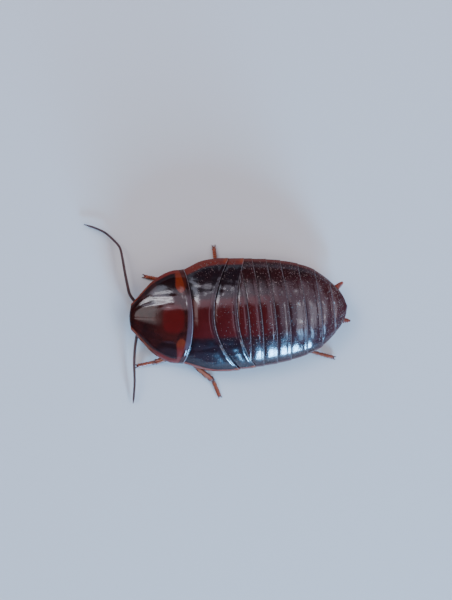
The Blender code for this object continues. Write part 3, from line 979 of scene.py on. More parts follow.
    def build(self) -> None:
        """Makes all the plates."""
        ends, lap = PLAN.tergite_ends, self.overlap
        notum = {"relief": self.notum_relief, "marks": self.notum_marks, "roll": 0.16, "roll_width": 0.8}
        tergite = {"relief": self.tergite_relief, "marks": self.tergite_marks, "floored": True}
        plates = [
            Plate(
                "pronotum", 96, lambda u: PLAN.nose_rounding * u * u, PLAN.pronotum_hind,
                self.pronotum_relief, self.hood_marks, step=0.0, roll=0.36, roll_width=1.15,
                finish=HOOD, slot=Slot.HOOD,
            ),
            Plate(
                "mesonotum", 64, lambda u: PLAN.pronotum_hind(u) - lap, PLAN.mesonotum_hind,
                step=self.mesonotum_step, **notum,
            ),
            Plate(
                "metanotum", 64, lambda u: PLAN.mesonotum_hind(u) - lap, PLAN.metanotum_hind,
                step=self.metanotum_step, **notum,
            ),
            Plate(
                "tergite_1", 28, lambda u: PLAN.metanotum_hind(u) - lap, lambda u: ends[0],
                step=self.tergite_1_step, share=self.tergite_1_share, **tergite,
            ),
            Plate(
                "tergite_2", 36, lambda u: max(ends[0], PLAN.metanotum_hind(u)) - lap,
                lambda u: self.pointed(ends[1], u), step=self.tergite_step, **tergite,
            ),
        ]
        for number, (start, end) in enumerate(zip(ends[1:], ends[2:]), start=3):
            plates.append(
                Plate(
                    f"tergite_{number}", 36, lambda u, start=start: start - lap,
                    lambda u, end=end: self.pointed(end, u), step=self.tergite_step, **tergite,
                )
            )
        tergite["relief"] = self.margins
        plates.append(
            Plate(
                "supra_anal_plate", 40, lambda u: ends[-1] - lap,
                lambda u: PLAN.tail_end - PLAN.tail_rounding * u * u, step=self.tergite_step, **tergite,
            )
        )
        for plate in plates:
            self.plate(plate)

    def place_of(self, at: Layers) -> tuple[np.ndarray, np.ndarray, np.ndarray]:
        """Works out where on the back each vertex is.

        Args:
            at: The mesh's float layers.

        Returns:
            Signed side, distance from the midline and distance from the rim, in millimetres.
        """
        half = np.interp(at["station"], *np.array([row[:2] for row in PLAN.sections]).T)
        side = at["reach"] * half
        return side, np.abs(side), half - np.abs(side)

    def beading(self, side: np.ndarray, station: np.ndarray) -> np.ndarray:
        """Uneven beading that breaks the pale line of a hind edge into dots."""
        return 0.6 + 0.25 * np.sin(side * 11.0 + station * 3.0) + 0.25 * np.sin(side * 17.7 - station)

    def hood_marks(self, at: Layers) -> Layers:
        """Colour marks of the pronotum.

        Args:
            at: The mesh's float layers.

        Returns:
            The marks.
        """
        station, behind = at["station"], at["behind"]
        signed, side, inward = self.place_of(at)
        squared = (np.abs(station - 8.1) / 2.0) ** 3 + (side / 2.7) ** 3
        disc = plateau(squared, -1.0, 0.55, 0.9)
        brown = plateau(np.hypot((station - 7.2) / 2.9, side / 4.4), -1.0, 0.75, 0.35)
        start = np.where(signed < 0, *self.bar_starts)
        reach = np.clip((side - start) / 4.5, 0.0, 1.0)
        round_end = 0.5 * np.clip(1.2 - (side - start), 0.0, 1.2) ** 2
        near, far = 1.05 - 0.8 * reach + round_end, 2.75 - 1.3 * reach - round_end
        bar = plateau(behind, near, far, 0.4) * plateau(side, start + 0.15, 20.0, 0.5)
        # The bar's orange is longer on the right and dimmer on the left: painted light and shade.
        hot = bar * plateau(side, start, start + np.where(signed < 0, *self.hot_lengths), 1.2)
        hot *= np.where(signed < 0, 1.0, 0.75)
        patch = plateau(np.hypot((station - 7.1) / 2.1, (side - 6.6) / 2.2), -1.0, 0.9, 0.35)
        front = plateau(station, -1.0, 4.4, 2.0) * plateau(side, 0.9, 9.0, 1.0)
        # The margin is narrower on the right than on the left: painted shade on the side that the light
        # misses.
        widest = np.where(signed < 0, *self.margin_widths)
        front_width = np.where(signed < 0, *self.front_margin_widths)
        width = front_width + (widest - front_width) * smooth_array((station - 2.5) / 4.0)
        margin = plateau(inward / width, -1.0, 0.8, 0.45)
        # The hind band gets a painted reflection, the mauve-grey sheen of a pale sky, across the span that
        # faces it; elsewhere it keeps its dark line.
        band = plateau(behind, -1.0, 0.95, 0.2)
        sheen_span = plateau(signed, -4.0, 5.5, 1.2)
        lip = plateau(behind, -1.0, 0.1, 0.08)
        grain = plateau(side, 5.0, 20.0, 3.0) * 0.25
        return {
            "brown": brown * 0.8,
            "disc": disc,
            # The patch is lighter on the left than on the right: painted light.
            "patch": np.maximum(patch * np.where(signed < 0, 1.0, 0.8), front * 0.4) * (1 - bar),
            "margin": margin * smooth_array((station - 3.0) / 3.0),
            "rust": margin * (1 - smooth_array((station - 3.0) / 3.0)) * plateau(side, 1.4, 20.0, 0.8),
            "corner": bar,
            "bar": hot,
            "line": band * 0.75 * (1 - sheen_span),
            "mauve": band * sheen_span * 0.85,
            "lip": lip * at["outer"] * 0.7,
            "grain": grain,
            "rim": np.maximum(plateau(inward, -1.0, 0.8, 1.4), plateau(behind, 0.12, 0.9, 0.25) * 0.6),
        }

    def notum_marks(self, at: Layers) -> Layers:
        """Colour marks of the mesonotum and metanotum.

        Args:
            at: The mesh's float layers.

        Returns:
            The marks.
        """
        behind = at["behind"]
        signed, side, inward = self.place_of(at)
        disc = plateau(side, -1.0, 3.3, 0.9) * plateau(behind, 1.05, 20.0, 0.7)
        patch = plateau(side, 5.0, 20.0, 1.6)
        # The margin is wider and weaker on the right and narrower on the left: the difference is painted
        # light and shade.
        margin = plateau(inward, -1.0, np.where(signed < 0, 0.9, 0.35), 0.4)
        tip = plateau(inward, -1.0, 0.6, 0.35) * plateau(behind, -1.0, 0.5, 0.7)
        # A painted reflection: the mauve-grey sheen of a pale sky just before the hind edge, near the
        # midline.
        mauve = plateau(behind, 0.35, 0.85, 0.25) * plateau(side, -1.0, 4.2, 1.2)
        lip = plateau(behind, 0.06, 0.17, 0.06) * self.beading(signed, at["station"]) * 0.8
        return {
            "disc": disc,
            "patch": patch * 0.9,
            "mauve": mauve * 0.45,
            "margin": margin * np.where(signed < 0, 0.65, 1.0),
            "bar": tip * 0.8,
            "lip": lip * at["outer"],
            "grain": plateau(side, 4.0, 20.0, 4.0) * 0.4,
            "rim": plateau(inward, -1.0, 0.6, 1.4),
        }

    def tergite_marks(self, at: Layers) -> Layers:
        """Colour marks of the abdomen's plates.

        Args:
            at: The mesh's float layers.

        Returns:
            The marks.
        """
        station, behind = at["station"], at["behind"]
        signed, side, inward = self.place_of(at)
        fading = smooth_array((31.5 - station) / 7.0)
        disc = plateau(side, -1.0, 3.3, 1.2) * fading * plateau(behind, 0.8, 20.0, 0.6)
        # A painted reflection: the mauve-grey sheen of a pale sky along the midline toward the tail, and a
        # fainter one before each hind edge.
        mauve = plateau(side, -1.0, 5.5, 2.5) * smooth_array((station - 26.0) / 9.0)
        margin = plateau(inward, -1.0, 0.25, 0.5)
        tail = smooth_array((station - 36.0) / 7.0)
        lip = plateau(behind, 0.05, 0.13, 0.05) * self.beading(signed, station) * 0.68
        grain = plateau(side, 4.5, 20.0, 4.0) * 0.5 + smooth_array((station - 28.0) / 14.0) * 0.5
        return {
            "disc": disc,
            "mauve": np.maximum(mauve * 0.7, plateau(behind, 0.3, 0.7, 0.2) * 0.3),
            "margin": np.maximum(margin * 0.42, tail * 0.15),
            "lip": lip * at["outer"],
            "grain": grain,
            "rim": plateau(inward, -1.0, 0.6, 1.4),
        }


@dataclass(frozen=True)
class Granules:
    """Low bosses scattered over the hind back and the front wing pads, thicker toward the sides and
    tail, and in a row along each hind edge."""

    seed: int = 11
    tried: int = 7300
    radius: Pair = (0.04, 0.1)
    first_station: float = 10.8
    front_fade: float = 3.6
    pad_reach: float = 0.42
    pad_fade: float = 0.36
    last_station: float = 43.3
    flatness: float = 0.7
    # Chance on the midline at the front, and what is added toward the tail and toward the sides.
    chances: Triple = (0.12, 0.35, 0.45)
    widest_reach: float = 0.97
    # Bare strip along a plate's hind edge, and the share of its length that isn't covered.
    bare_strip: float = 0.35
    covered_share: float = 0.93
    row_spacing: float = 0.6
    row_reach: float = 0.96
    row_inset: float = 0.26
    row_radius: Pair = (0.05, 0.09)
    row_lift: float = 0.02
    # How far behind the wing pads a row starts.
    pad_gap: float = 0.6

    def add_boss(self, bm: BMesh, station: float, reach: float, radius: float, sunk: float) -> None:
        """Adds one boss standing on the back.

        Args:
            bm: Where to add it.
            station: Distance behind the front edge.
            reach: Share of the half width.
            radius: Its size.
            sunk: How far the plate lies under the plain dome there.
        """
        half = PLAN.section(station)[0]
        here = PLAN.place(station, reach * half, PLAN.dome(station, reach) - sunk)
        beside = PLAN.place(station, (reach + 0.02) * half, PLAN.dome(station, reach + 0.02) - sunk)
        behind = PLAN.place(station + 0.2, reach * half, PLAN.dome(station + 0.2, reach) - sunk)
        normal = (beside - here).cross(behind - here).normalized()
        tilt = normal.to_track_quat("Z", "Y").to_matrix().to_4x4()
        size = Matrix.Diagonal((radius * MM, radius * MM, radius * self.flatness * MM, 1.0))
        place = Matrix.Translation(here) @ tilt @ size
        bmesh.ops.create_icosphere(bm, subdivisions=1, radius=1.0, matrix=place)

    def plate_at(self, plates: BackPlates, station: float, reach: float) -> Triple | None:
        """Finds the plate at a point of the back.

        Args:
            plates: The plates of the back.
            station: Distance behind the front edge.
            reach: Share of the half width.

        Returns:
            The plate's visible start, its end and its step, or None off the granular plates.
        """
        hood_end, pads_end = PLAN.pronotum_hind(reach), PLAN.metanotum_hind(reach)
        front_pads_end = PLAN.mesonotum_hind(reach)
        if station < hood_end:
            return None
        if station < front_pads_end:
            return hood_end, front_pads_end, plates.mesonotum_step
        if station < pads_end:
            return front_pads_end, pads_end, plates.metanotum_step
        ends = (PLAN.metanotum_end, *PLAN.tergite_ends, PLAN.tail_end - PLAN.tail_rounding)
        for number, (start, end) in enumerate(zip(ends, ends[1:])):
            if pads_end < end and station < end:
                step = plates.tergite_step if number else plates.tergite_1_step
                return max(start, pads_end), end, step
        return None

    def chance(self, station: float, reach: float) -> float:
        """Gives the chance that a boss which is tried at a point of the back stands there.

        Args:
            station: Distance behind the front edge.
            reach: Share of the half width.

        Returns:
            A chance, fading out toward the front and the middle of the front wing pads.
        """
        tailward = (station - self.first_station) / (self.last_station - self.first_station)
        midline, tail, sides = self.chances
        chance = midline + tail * tailward**1.5 + sides * reach * reach
        if station < PLAN.mesonotum_hind(reach):
            chance *= smooth((abs(reach) - self.pad_reach) / self.pad_fade)
        return chance * smooth((station - self.first_station) / self.front_fade)

    def build(self, plates: BackPlates) -> None:
        """Scatters the bosses and sets the rows along the hind edges, one piece for each stretch.

        Args:
            plates: The plates that they stand on.
        """
        draw = random.Random(self.seed)
        stretches = [self.first_station, *PLAN.tergite_ends[1:], self.last_station]
        length = self.last_station - self.first_station
        for number, (start, end) in enumerate(zip(stretches, stretches[1:]), start=1):
            bm = bmesh.new()
            for _ in range(int(self.tried * (end - start) / length)):
                station = draw.uniform(start, end)
                reach = draw.uniform(-self.widest_reach, self.widest_reach)
                plate = self.plate_at(plates, station, reach)
                if plate is None or draw.random() > self.chance(station, reach):
                    continue
                front, hind, step = plate
                share = (hind - station) / (hind - front)
                if hind - station > self.bare_strip and share < self.covered_share:
                    sunk = step * share**plates.dip_power
                    small, large = self.radius
                    self.add_boss(bm, station, reach, small + (large - small) * draw.random() ** 1.6, sunk)
            if end != self.last_station:
                self.edge_row(bm, end, draw)
            # Each stretch of bosses wears the pale finish, a painted highlight.
            publish(bm, f"back_granules_{number}", GLINT_PAINTED_BOSS)

    def edge_row(self, bm: BMesh, end: float, draw: random.Random) -> None:
        """Adds the row of bosses along one hind edge.

        Args:
            bm: Where to add them.
            end: Station of the edge.
            draw: Where chance comes from.
        """
        count = int(2 * PLAN.section(end)[0] / self.row_spacing)
        for i in range(count):
            reach = -self.row_reach + 2 * self.row_reach * (i + draw.uniform(0.2, 0.8)) / count
            if PLAN.metanotum_hind(reach) < end - self.pad_gap:
                radius = draw.uniform(*self.row_radius)
                self.add_boss(bm, end - self.row_inset, reach, radius, -self.row_lift)


@dataclass(frozen=True)
class Underbody:
    """Belly plates, the soft skin between them and the back, and the breast under the thorax."""

    columns: int = 60
    rows: int = 14
    side_inset: float = 1.6
    side_height: float = 0.5
    side_power: float = 0.6
    last_end: float = 40.4
    # How far the side corners of the first belly plate lie behind the middle of its front.
    first_bow: float = 1.5
    # Drop of a belly plate's hidden face under the rim, its lap over the next, and its low bead.
    inner_drop: float = 0.7
    lap: float = 0.2
    bead: Triple = (-0.03, 0.3, 0.2)
    skin_span: Pair = (21.9, 41.4)
    skin_thickness: float = 0.25
    # The skin of a flank: how far its lower edge lies in from the rim and under it, and its width,
    # height, and the depth and number of its puckers in each millimetre.
    skin_inset: float = 1.95
    skin_drop: float = 0.95
    skin_width: float = 1.1
    skin_rise: float = 0.42
    pucker_depth: float = 0.12
    puckers: float = 1.12
    spiracle_radius: float = 0.16
    spiracle_tilt: float = math.radians(25)
    # Where a breathing hole lies: before the plate's hind edge, in from the rim and under it.
    spiracle_place: Triple = (1.4, 1.25, 0.86)
    # Height of its wall, width of its lip and depth of its hollow.
    spiracle_wall: float = 0.12
    spiracle_lip: float = 0.06
    spiracle_hollow: float = 0.05
    thorax_floor: float = 2.6
    seam: float = 0.14
    prothorax: Triple = (7.7, 11.5, 5.8)
    mesothorax: Triple = (11.8, 15.96, 7.6)
    metathorax: Triple = (16.26, 20.56, 7.6)
    # Station, height of the belly on the midline and half width of its flat.
    belly: Triples = (
        (20.5, 2.0, 0.6),
        (22.75, 1.65, 1.0),
        (25.3, 0.5, 2.0),
        (28.1, 0.0, 4.4),
        (34.4, 0.0, 5.0),
        (37.7, 0.5, 3.6),
        (40.6, 1.3, 2.0),
    )

    def belly_height(self, station: float, side: float) -> float:
        """Height of the belly's skin.

        Args:
            station: Distance behind the front edge.
            side: Distance from the midline.

        Returns:
            Height over the floor.
        """
        stations, heights, flats = zip(*self.belly)
        low = float(np.interp(station, stations, heights))
        flat = float(np.interp(station, stations, flats))
        half, _, edge = PLAN.section(station)
        rise = max(0.0, side - flat) / (half - self.side_inset - flat)
        return low + (edge - 0.8 - self.side_height - low) * min(1.0, rise) ** self.side_power

    def sternite(self, number: int, front: float, hind: float) -> None:
        """Makes one belly plate, whose hind edge laps over the next.

        Args:
            number: Its place in the row.
            front: Station of its front edge.
            hind: Station of its hind edge.
        """
        bow = self.first_bow if number == 1 else 0.0

        def face(across: float, along: float, upper: bool) -> tuple[Vector, float]:
            """Shapes the hidden upper face, and the belly with a low bead before its hind edge.

            Args:
                across: Share from right to left, -1 to 1.
                along: Share from front to hind.
                upper: Whether it is the hidden face.

            Returns:
                The point and its station.
            """
            station = front + bow * abs(across) ** 3 + (hind - front - bow * abs(across) ** 3) * along
            half, _, edge = PLAN.section(station)
            half -= self.side_inset
            if upper:
                return PLAN.place(station, across * half, edge - self.inner_drop), station
            sunk = self.lap * (1 - along)
            bead = max(bump(self.bead, (1 - along) * (hind - front)), -sunk)
            height = self.belly_height(station, abs(across) * half) + sunk + bead
            return PLAN.place(station, across * half, height), station

        bm = slab(self.columns, self.rows, face)
        publish(bm, f"sternite_{number}", BELLY, [f"sternite_{number}"], self.marks)

    def marks(self, at: Layers) -> Layers:
        """Marks the pale hind edges and dark side patches of the belly plates.

        Args:
            at: The mesh's float layers.

        Returns:
            The marks.
        """
        lip = plateau(at["along"], 0.93, 2.0, 0.1)
        margin = plateau(np.abs(at["across"]), 0.72, 0.9, 0.12)
        return {"lip": lip * 0.8, "margin": margin * 0.7, "grain": np.full_like(lip, 0.3)}

    def pleuron(self, side: Side) -> None:
        """Makes the creased skin between the belly plates and the rim of the back.

        Args:
            side: Which flank.
        """

        def face(across: float, along: float, upper: bool) -> tuple[Vector, float]:
            """Shapes both faces of the skin.

            Args:
                across: Share from the belly to the rim, -1 to 1.
                along: Share from front to hind.
                upper: Whether it is the outer face.

            Returns:
                The point and its station.
            """
            first, last = self.skin_span
            station = first + (last - first) * along
            half, _, edge = PLAN.section(station)
            inset = 0.0 if upper else self.skin_thickness
            out = (across + 1) / 2
            pucker = self.pucker_depth * math.sin(station * self.puckers * 2 * math.pi)
            reach = half - self.skin_inset + self.skin_width * out - inset + pucker * out * (1 - out)
            height = edge - self.skin_drop + self.skin_rise * out + inset * 0.6
            return PLAN.place(station, side.value * reach, height), station

        publish(slab(8, 160, face), f"pleuron_{side.word}", MEMBRANE)

    def spiracles(self) -> None:
        """Makes the breathing holes, one small ring for each plate on either flank."""
        bm = bmesh.new()
        for side in Side:
            for end in PLAN.tergite_ends[1:]:
                before, inward, under = self.spiracle_place
                half, _, edge = PLAN.section(end - before)
                centre = PLAN.place(end - before, side.value * (half - inward), edge - under)
                turn = Matrix.Rotation(side.value * self.spiracle_tilt, 4, "Y")
                radius = self.spiracle_radius * MM
                ring = bmesh.ops.create_circle(bm, segments=10, radius=radius, cap_ends=True)["verts"]
                bmesh.ops.transform(bm, matrix=Matrix.Translation(centre) @ turn, verts=ring)
                face = ring[0].link_faces[0]
                wall = bmesh.ops.extrude_face_region(bm, geom=[face])["geom"]
                moved = [item for item in wall if isinstance(item, BMVert)]
                bmesh.ops.translate(bm, verts=moved, vec=UP * -self.spiracle_wall * MM)
                cap = next(item for item in wall if isinstance(item, bmesh.types.BMFace))
                lip, hollow = self.spiracle_lip * MM, self.spiracle_hollow * MM
                bmesh.ops.inset_region(bm, faces=[cap], thickness=lip, depth=-hollow)
        publish(bm, "spiracles", SPINE)

    def breast(self, name: str, span: Triple) -> None:
        """Makes the flesh under one shell plate of the thorax, creased round the legs' roots.

        Args:
            name: Node that it stands for.
            span: Front, hind and half width.
        """
        front, hind, half_width = span[0] - self.seam, span[1] + self.seam, span[2]

        def face(across: float, along: float, upper: bool) -> tuple[Vector, float]:
            """Shapes the upper face along the shell, and the breast with its keel and creases.

            Args:
                across: Share from right to left, -1 to 1.
                along: Share from front to hind.
                upper: Whether it is the hidden face.

            Returns:
                The point and its station.
            """
            station = front + (hind - front) * along
            side = across * half_width * (1 - 0.24 * abs(2 * along - 1) ** 3)
            if upper:
                half, crest, edge = PLAN.section(station)
                height = edge - 1.05 + (crest - edge - 0.35) * PLAN.arch(side / (half - 0.6))
                return PLAN.place(station, side, height), station
            keel = -0.35 * bell(side, 0.9) * bell((along - 0.5) * 2, 0.8)
            crease = 0.12 * noise.noise(Vector((side * 0.6, station * 1.5, 3.0)))
            rise = 0.4 * abs(2 * along - 1) ** 6 + 1.3 * abs(across) ** 3
            return PLAN.place(station, side, self.thorax_floor + keel + crease + rise), station

        publish(slab(70, 30, face), name, BELLY, [name], self.breast_marks)

    def breast_marks(self, at: Layers) -> Layers:
        """Marks the dark sclerites on the midline and flanks of the breast.

        Args:
            at: The mesh's float layers.

        Returns:
            The marks.
        """
        across, along = np.abs(at["across"]), at["along"]
        middle = plateau(across, -1.0, 0.14, 0.06) * plateau(along, 0.1, 0.85, 0.1)
        flank = plateau(across, 0.62, 0.86, 0.12) * plateau(along, 0.15, 0.8, 0.15)
        soft = 1 - plateau(along, 0.1, 0.9, 0.1)
        return {
            "margin": np.maximum(middle, flank) * 0.8,
            "lip": soft * 0.5,
            "grain": np.full_like(across, 0.3),
        }

    def build(self) -> None:
        """Makes the belly, flanks and breast."""
        fronts = (PLAN.metanotum_end, *PLAN.tergite_ends)
        for number, end in enumerate(PLAN.tergite_ends, start=1):
            self.sternite(number, fronts[number - 1] - self.lap, min(end, self.last_end))
        for side in Side:
            self.pleuron(side)
        self.spiracles()
        self.breast("prothorax", self.prothorax)
        self.breast("mesothorax", self.mesothorax)
        self.breast("metathorax", self.metathorax)


@dataclass(frozen=True)
class Head:
    """The head, hung under the pronotum with its face down and its mouth toward the tail."""

    centre: Triple = (0.0, 4.5, 2.6)
    tilt: float = math.radians(25.0)
    # Distance from crown to mouth, half width and half thickness.
    sections: Triples = (
        (-2.92, 0.3, 0.15),
        (-2.82, 1.1, 0.5),
        (-2.6, 1.75, 0.85),
        (-2.0, 2.4, 1.2),
        (-1.0, 2.72, 1.42),
        (0.2, 2.6, 1.45),
        (1.1, 2.2, 1.3),
        (2.0, 1.8, 1.05),
        (2.7, 1.45, 0.8),
        (2.95, 1.2, 0.6),
    )
    skull_rows: int = 46
    skull_sides: int = 44
    eye_seat: float = 2.3
    eye_along: float = -1.0
    eye_size: Triple = (0.85, 1.35, 1.1)
    socket: Triple = (1.45, 2.96, 1.6)
    # Seams of the face, and the dents of brow and sockets: depth, place and width.
    crown_seam: Triple = (0.06, 0.0, 0.12)
    arm_seam: Triple = (0.06, 0.0, 0.14)
    clypeus_seam: Triple = (0.08, 1.55, 0.14)
    socket_dent: Triple = (0.16, 0.0, 0.42)
    socket_rim: Triple = (-0.1, 0.6, 0.2)
    brow: Triple = (-0.08, 0.0, 0.9)
    # The crown seam forks here into arms, which spread by this much and end there.
    fork: float = -0.6
    arm_spread: float = 0.9
    arms_end: float = 1.2
    clypeus_half_width: float = 1.4
    # Distance of a socket's centre from the crown and from the midline, on the face.
    socket_centre: Pair = (-0.95, 1.45)
    brow_along: float = 0.4
    palp_route: Triples = (
        (2.15, 6.5, 1.3), (3.2, 5.9, 0.85), (3.9, 4.6, 0.75), (3.6, 3.2, 0.85), (2.7, 2.3, 0.75),
    )
    # Joints of a palp: start and end share of its length, and greatest radius.
    palp_joints: Triples = (
        (0.0, 0.14, 0.22), (0.14, 0.26, 0.24), (0.26, 0.52, 0.26), (0.52, 0.76, 0.27), (0.76, 1.0, 0.34),
    )
    labial_route: Triples = (
        (2.6, 0.55, 0.9), (3.1, 0.85, 0.95), (3.7, 1.05, 0.75), (4.2, 0.85, 0.45),
    )
    labial_joints: Triples = ((0, 0.3, 0.17), (0.3, 0.62, 0.19), (0.62, 1.0, 0.24))
    # Shares of a joint's length, and the share of its greatest radius there.
    joint_profile: tuple[Pair, ...] = (
        (0.0, 0.35), (0.08, 0.6), (0.3, 0.72), (0.6, 0.9), (0.85, 1.0), (0.96, 0.8), (1.0, 0.3),
    )
    # The two swellings of the clypeus: distance from the crown, half width, half thickness, height.
    clypeus: Table = ((1.75, 1.15, 0.12, -1.18), (2.4, 1.1, 0.16, -0.95))
    clypeus_half_length: float = 0.42
    # The upper lip: distance from the crown, half width and half thickness.
    labrum: Triples = (
        (3.05, 1.0, 0.3), (3.2, 1.15, 0.38), (3.6, 1.02, 0.34), (3.86, 0.7, 0.28), (3.95, 0.35, 0.15),
    )
    # A jaw: distance from the crown, side, half width and half thickness.
    mandible: Table = (
        (1.9, 1.55, 0.35, 0.5), (2.6, 1.5, 0.4, 0.55), (3.2, 1.2, 0.36, 0.45), (3.6, 0.75, 0.25, 0.3),
        (3.75, 0.3, 0.08, 0.1),
    )
    neck_end: Triple = (0.0, 7.75, 4.6)
    neck_rings: int = 26
    neck_tilt: float = math.radians(-65)

    def point(self, along: float, side: float, up: float) -> Vector:
        """Side, station and height of a point of the head, for its distances from the centre."""
        cos, sin = math.cos(self.tilt), math.sin(self.tilt)
        return Vector(self.centre) + Vector((side, along * cos + up * sin, up * cos - along * sin))

    def capsule(self) -> None:
        """Makes the skull with the sutures of its face, and the dents round eyes and sockets."""
        bm = bmesh.new()
        own = bm.verts.layers.float.new("station")
        face = bm.verts.layers.float.new("outer")
        across = bm.verts.layers.float.new("across")
        table = np.array(self.sections)
        rows = np.linspace(table[0, 0], table[-1, 0], self.skull_rows)
        widths, depths = (np.interp(rows, table[:, 0], table[:, i]) for i in (1, 2))
        verts = sweep(bm, [Ring(Vector(), ACROSS, ACROSS, 1.0, 1.0) for _ in rows], self.skull_sides)
        turn = bm.verts.layers.float.get("turn")
        along = bm.verts.layers.float.get("along")
        for vert in verts:
            row = round(vert[along] * (len(rows) - 1))
            there, angle = rows[row], vert[turn]
            side = widths[row] * math.cos(angle)
            up = depths[row] * math.sin(angle)
            limit = self.eye_seat + 0.05
            if abs(side) > limit and -2.3 < there < 0.6:
                side = math.copysign(limit + (abs(side) - limit) * 0.25, side)
            up += self.face_relief(there, side, up)
            vert.co = PLAN.free(self.point(there, side, up))
            vert[own] = there
            vert[face] = -up
            vert[across] = side
        bmesh.ops.remove_doubles(bm, verts=bm.verts, dist=0.000002)
        publish(bm, "head", BACK, ["head"], self.marks)

    def face_relief(self, along: float, side: float, up: float) -> float:
        """How far the face is pressed in or out, on its lower side only.

        Args:
            along: From crown to mouth.
            side: To the left.
            up: Toward the pronotum.

        Returns:
            A shift of up.
        """
        if up > 0:
            return 0.0
        shift = 0.0
        if along < self.fork:
            shift += bump(self.crown_seam, side)
        elif self.fork < along < self.arms_end:
            shift += bump(self.arm_seam, abs(side) - (along - self.fork) * self.arm_spread)
        if abs(side) < self.clypeus_half_width:
            shift += bump(self.clypeus_seam, along)
        there, out = self.socket_centre
        apart = math.hypot(along - there, abs(side) - out)
        shift += bump(self.socket_dent, apart) + bump(self.socket_rim, apart)
        return shift + bump(self.brow, math.hypot(along - self.brow_along, side))

    def marks(self, at: Layers) -> Layers:
        """Marks the orange face, pale ocellar spots and dark brow of the head.

        Args:
            at: The mesh's float layers.

        Returns:
            The marks.
        """
        along, side = at["station"], np.abs(at["across"])
        front = plateau(at["outer"], 0.1, 5.0, 0.5)
        cheeks = front * plateau(along, 0.9, 5.0, 0.7)
        spot = front * plateau(np.hypot(along + 1.7, side - 1.5), -1.0, 0.2, 0.12)
        face = front * plateau(along, -0.6, 1.4, 0.6)
        return {
            "disc": face * 0.8,
            "patch": front * plateau(along, -3.0, -1.0, 0.6) * 0.6,
            "margin": cheeks * 0.9,
            "bar": np.maximum(cheeks * plateau(along, 2.0, 5.0, 0.4), spot),
            "lip": spot,
            "grain": np.full_like(side, 0.1),
        }

    def eye(self, side: Side) -> None:
        """Makes a kidney-shaped compound eye, hollowed beside the feeler's root.

        Args:
            side: Which eye.
        """
        bulge, half_length, half_height = self.eye_size
        bm = bmesh.new()
        verts = bmesh.ops.create_icosphere(bm, subdivisions=4, radius=1.0)["verts"]
        for vert in verts:
            x, y, z = vert.co
            lift = max(x, -0.35)
            notch = 0.28 * bell(math.hypot(y - 0.1, z + 0.95), 0.55)
            vert.co = PLAN.free(
                self.point(
                    self.eye_along + half_length * y,
                    side.value * (self.eye_seat + bulge * lift),
                    half_height * z * (1 - notch) + notch * 0.4,
                )
            )
        name = f"eye_{side.word}"
        publish(bm, name, EYE, [name])

    def socket_ring(self, side: Side) -> None:
        """Makes the raised ring that the feeler turns in.

        Args:
            side: Which side.
        """
        bm = bmesh.new()
        ring = bmesh.ops.create_circle(bm, segments=8, radius=0.09 * MM)
        upright = Matrix.Rotation(math.pi / 2, 3, "X")
        bmesh.ops.rotate(bm, verts=ring["verts"], cent=Vector(), matrix=upright)
        bmesh.ops.translate(bm, verts=ring["verts"], vec=Vector((0.5 * MM, 0, 0)))
        bmesh.ops.spin(
            bm, geom=bm.verts[:] + bm.edges[:], cent=Vector(), axis=UP,
            angle=2 * math.pi, steps=24, use_merge=True,
        )
        lean = Vector((0.35 * side.value, -0.55, -0.75)).to_track_quat("Z", "Y").to_matrix().to_4x4()
        x, station, height = self.socket
        spot = PLAN.free((x * side.value * 0.98, station + 0.1, height + 0.08))
        bmesh.ops.transform(bm, matrix=Matrix.Translation(spot) @ lean, verts=bm.verts)
        publish(bm, f"antennal_socket_{side.word}", LEG)

    def mouthparts(self) -> None:
        """Makes the clypeus, labrum, mandibles and labial palps."""
        bm = bmesh.new()
        for along, wide, thick, up in self.clypeus:
            self.lozenge(bm, along, up, wide, thick)
        publish(bm, "clypeus", LEG)
        bm = bmesh.new()
        rings = []
        up = (self.point(0, 0, 1) - self.point(0, 0, 0)).normalized()
        for along, wide, thick in self.labrum:
            rings.append(Ring(PLAN.free(self.point(along, 0.0, -0.1)), ACROSS, up, wide, thick))
        sweep(bm, rings, 20)
        publish(bm, "labrum", LEG, ["labrum"])
        bm = bmesh.new()
        for side in Side:
            points = [self.point(along, side.value * out, 0.15) for along, out, _, _ in self.mandible]
            sweep(bm, rings_along(points, [(wide, thick) for *_, wide, thick in self.mandible]), 14)
        publish(bm, "mandibles", SPINE)
        bm = bmesh.new()
        for side in Side:
            route = [self.point(along, side.value * out, up) for along, out, up in self.labial_route]
            self.jointed(bm, smooth_route(route, 8), self.labial_joints)
        publish(bm, "labial_palps", LEG, marks=joint_marks)

    def lozenge(self, bm: BMesh, along: float, up: float, wide: float, thick: float) -> None:
        """Adds a low rounded plate to the midline of the face.

        Args:
            bm: Where to add it.
            along: Its centre from crown to mouth.
            up: Its centre toward the pronotum.
            wide: Half width.
            thick: Half thickness.
        """
        verts = bmesh.ops.create_icosphere(bm, subdivisions=3, radius=1.0)["verts"]
        for vert in verts:
            x, y, z = vert.co
            square = 1 - 0.25 * (x * y) ** 2
            there = along + y * self.clypeus_half_length * square
            vert.co = PLAN.free(self.point(there, x * wide * (1 - 0.12 * y), up + z * thick))

    def jointed(self, bm: BMesh, route: Route, joints: Sequence[Triple]) -> None:
        """Adds a chain of club-shaped joints along a route.

        Args:
            bm: Where to add them.
            route: Points close together, in millimetres.
            joints: Start and end share of the route, and greatest radius, of each joint.
        """
        for start, end, radius in joints:
            shares = [start + (end - start) * share for share, _ in self.joint_profile]
            radii = [(radius * swell, radius * swell) for _, swell in self.joint_profile]
            sweep(bm, rings_along(even_route(route, shares), radii), 12)

    def palp(self, side: Side) -> None:
        """Makes a maxillary palp of five joints.

        Args:
            side: Which side.
        """
        route = smooth_route([(side.value * x, station, z) for x, station, z in self.palp_route], 10)
        bm = bmesh.new()
        self.jointed(bm, route, self.palp_joints)
        name = f"palp_{side.word}"
        publish(bm, name, LEG, [name], joint_marks)

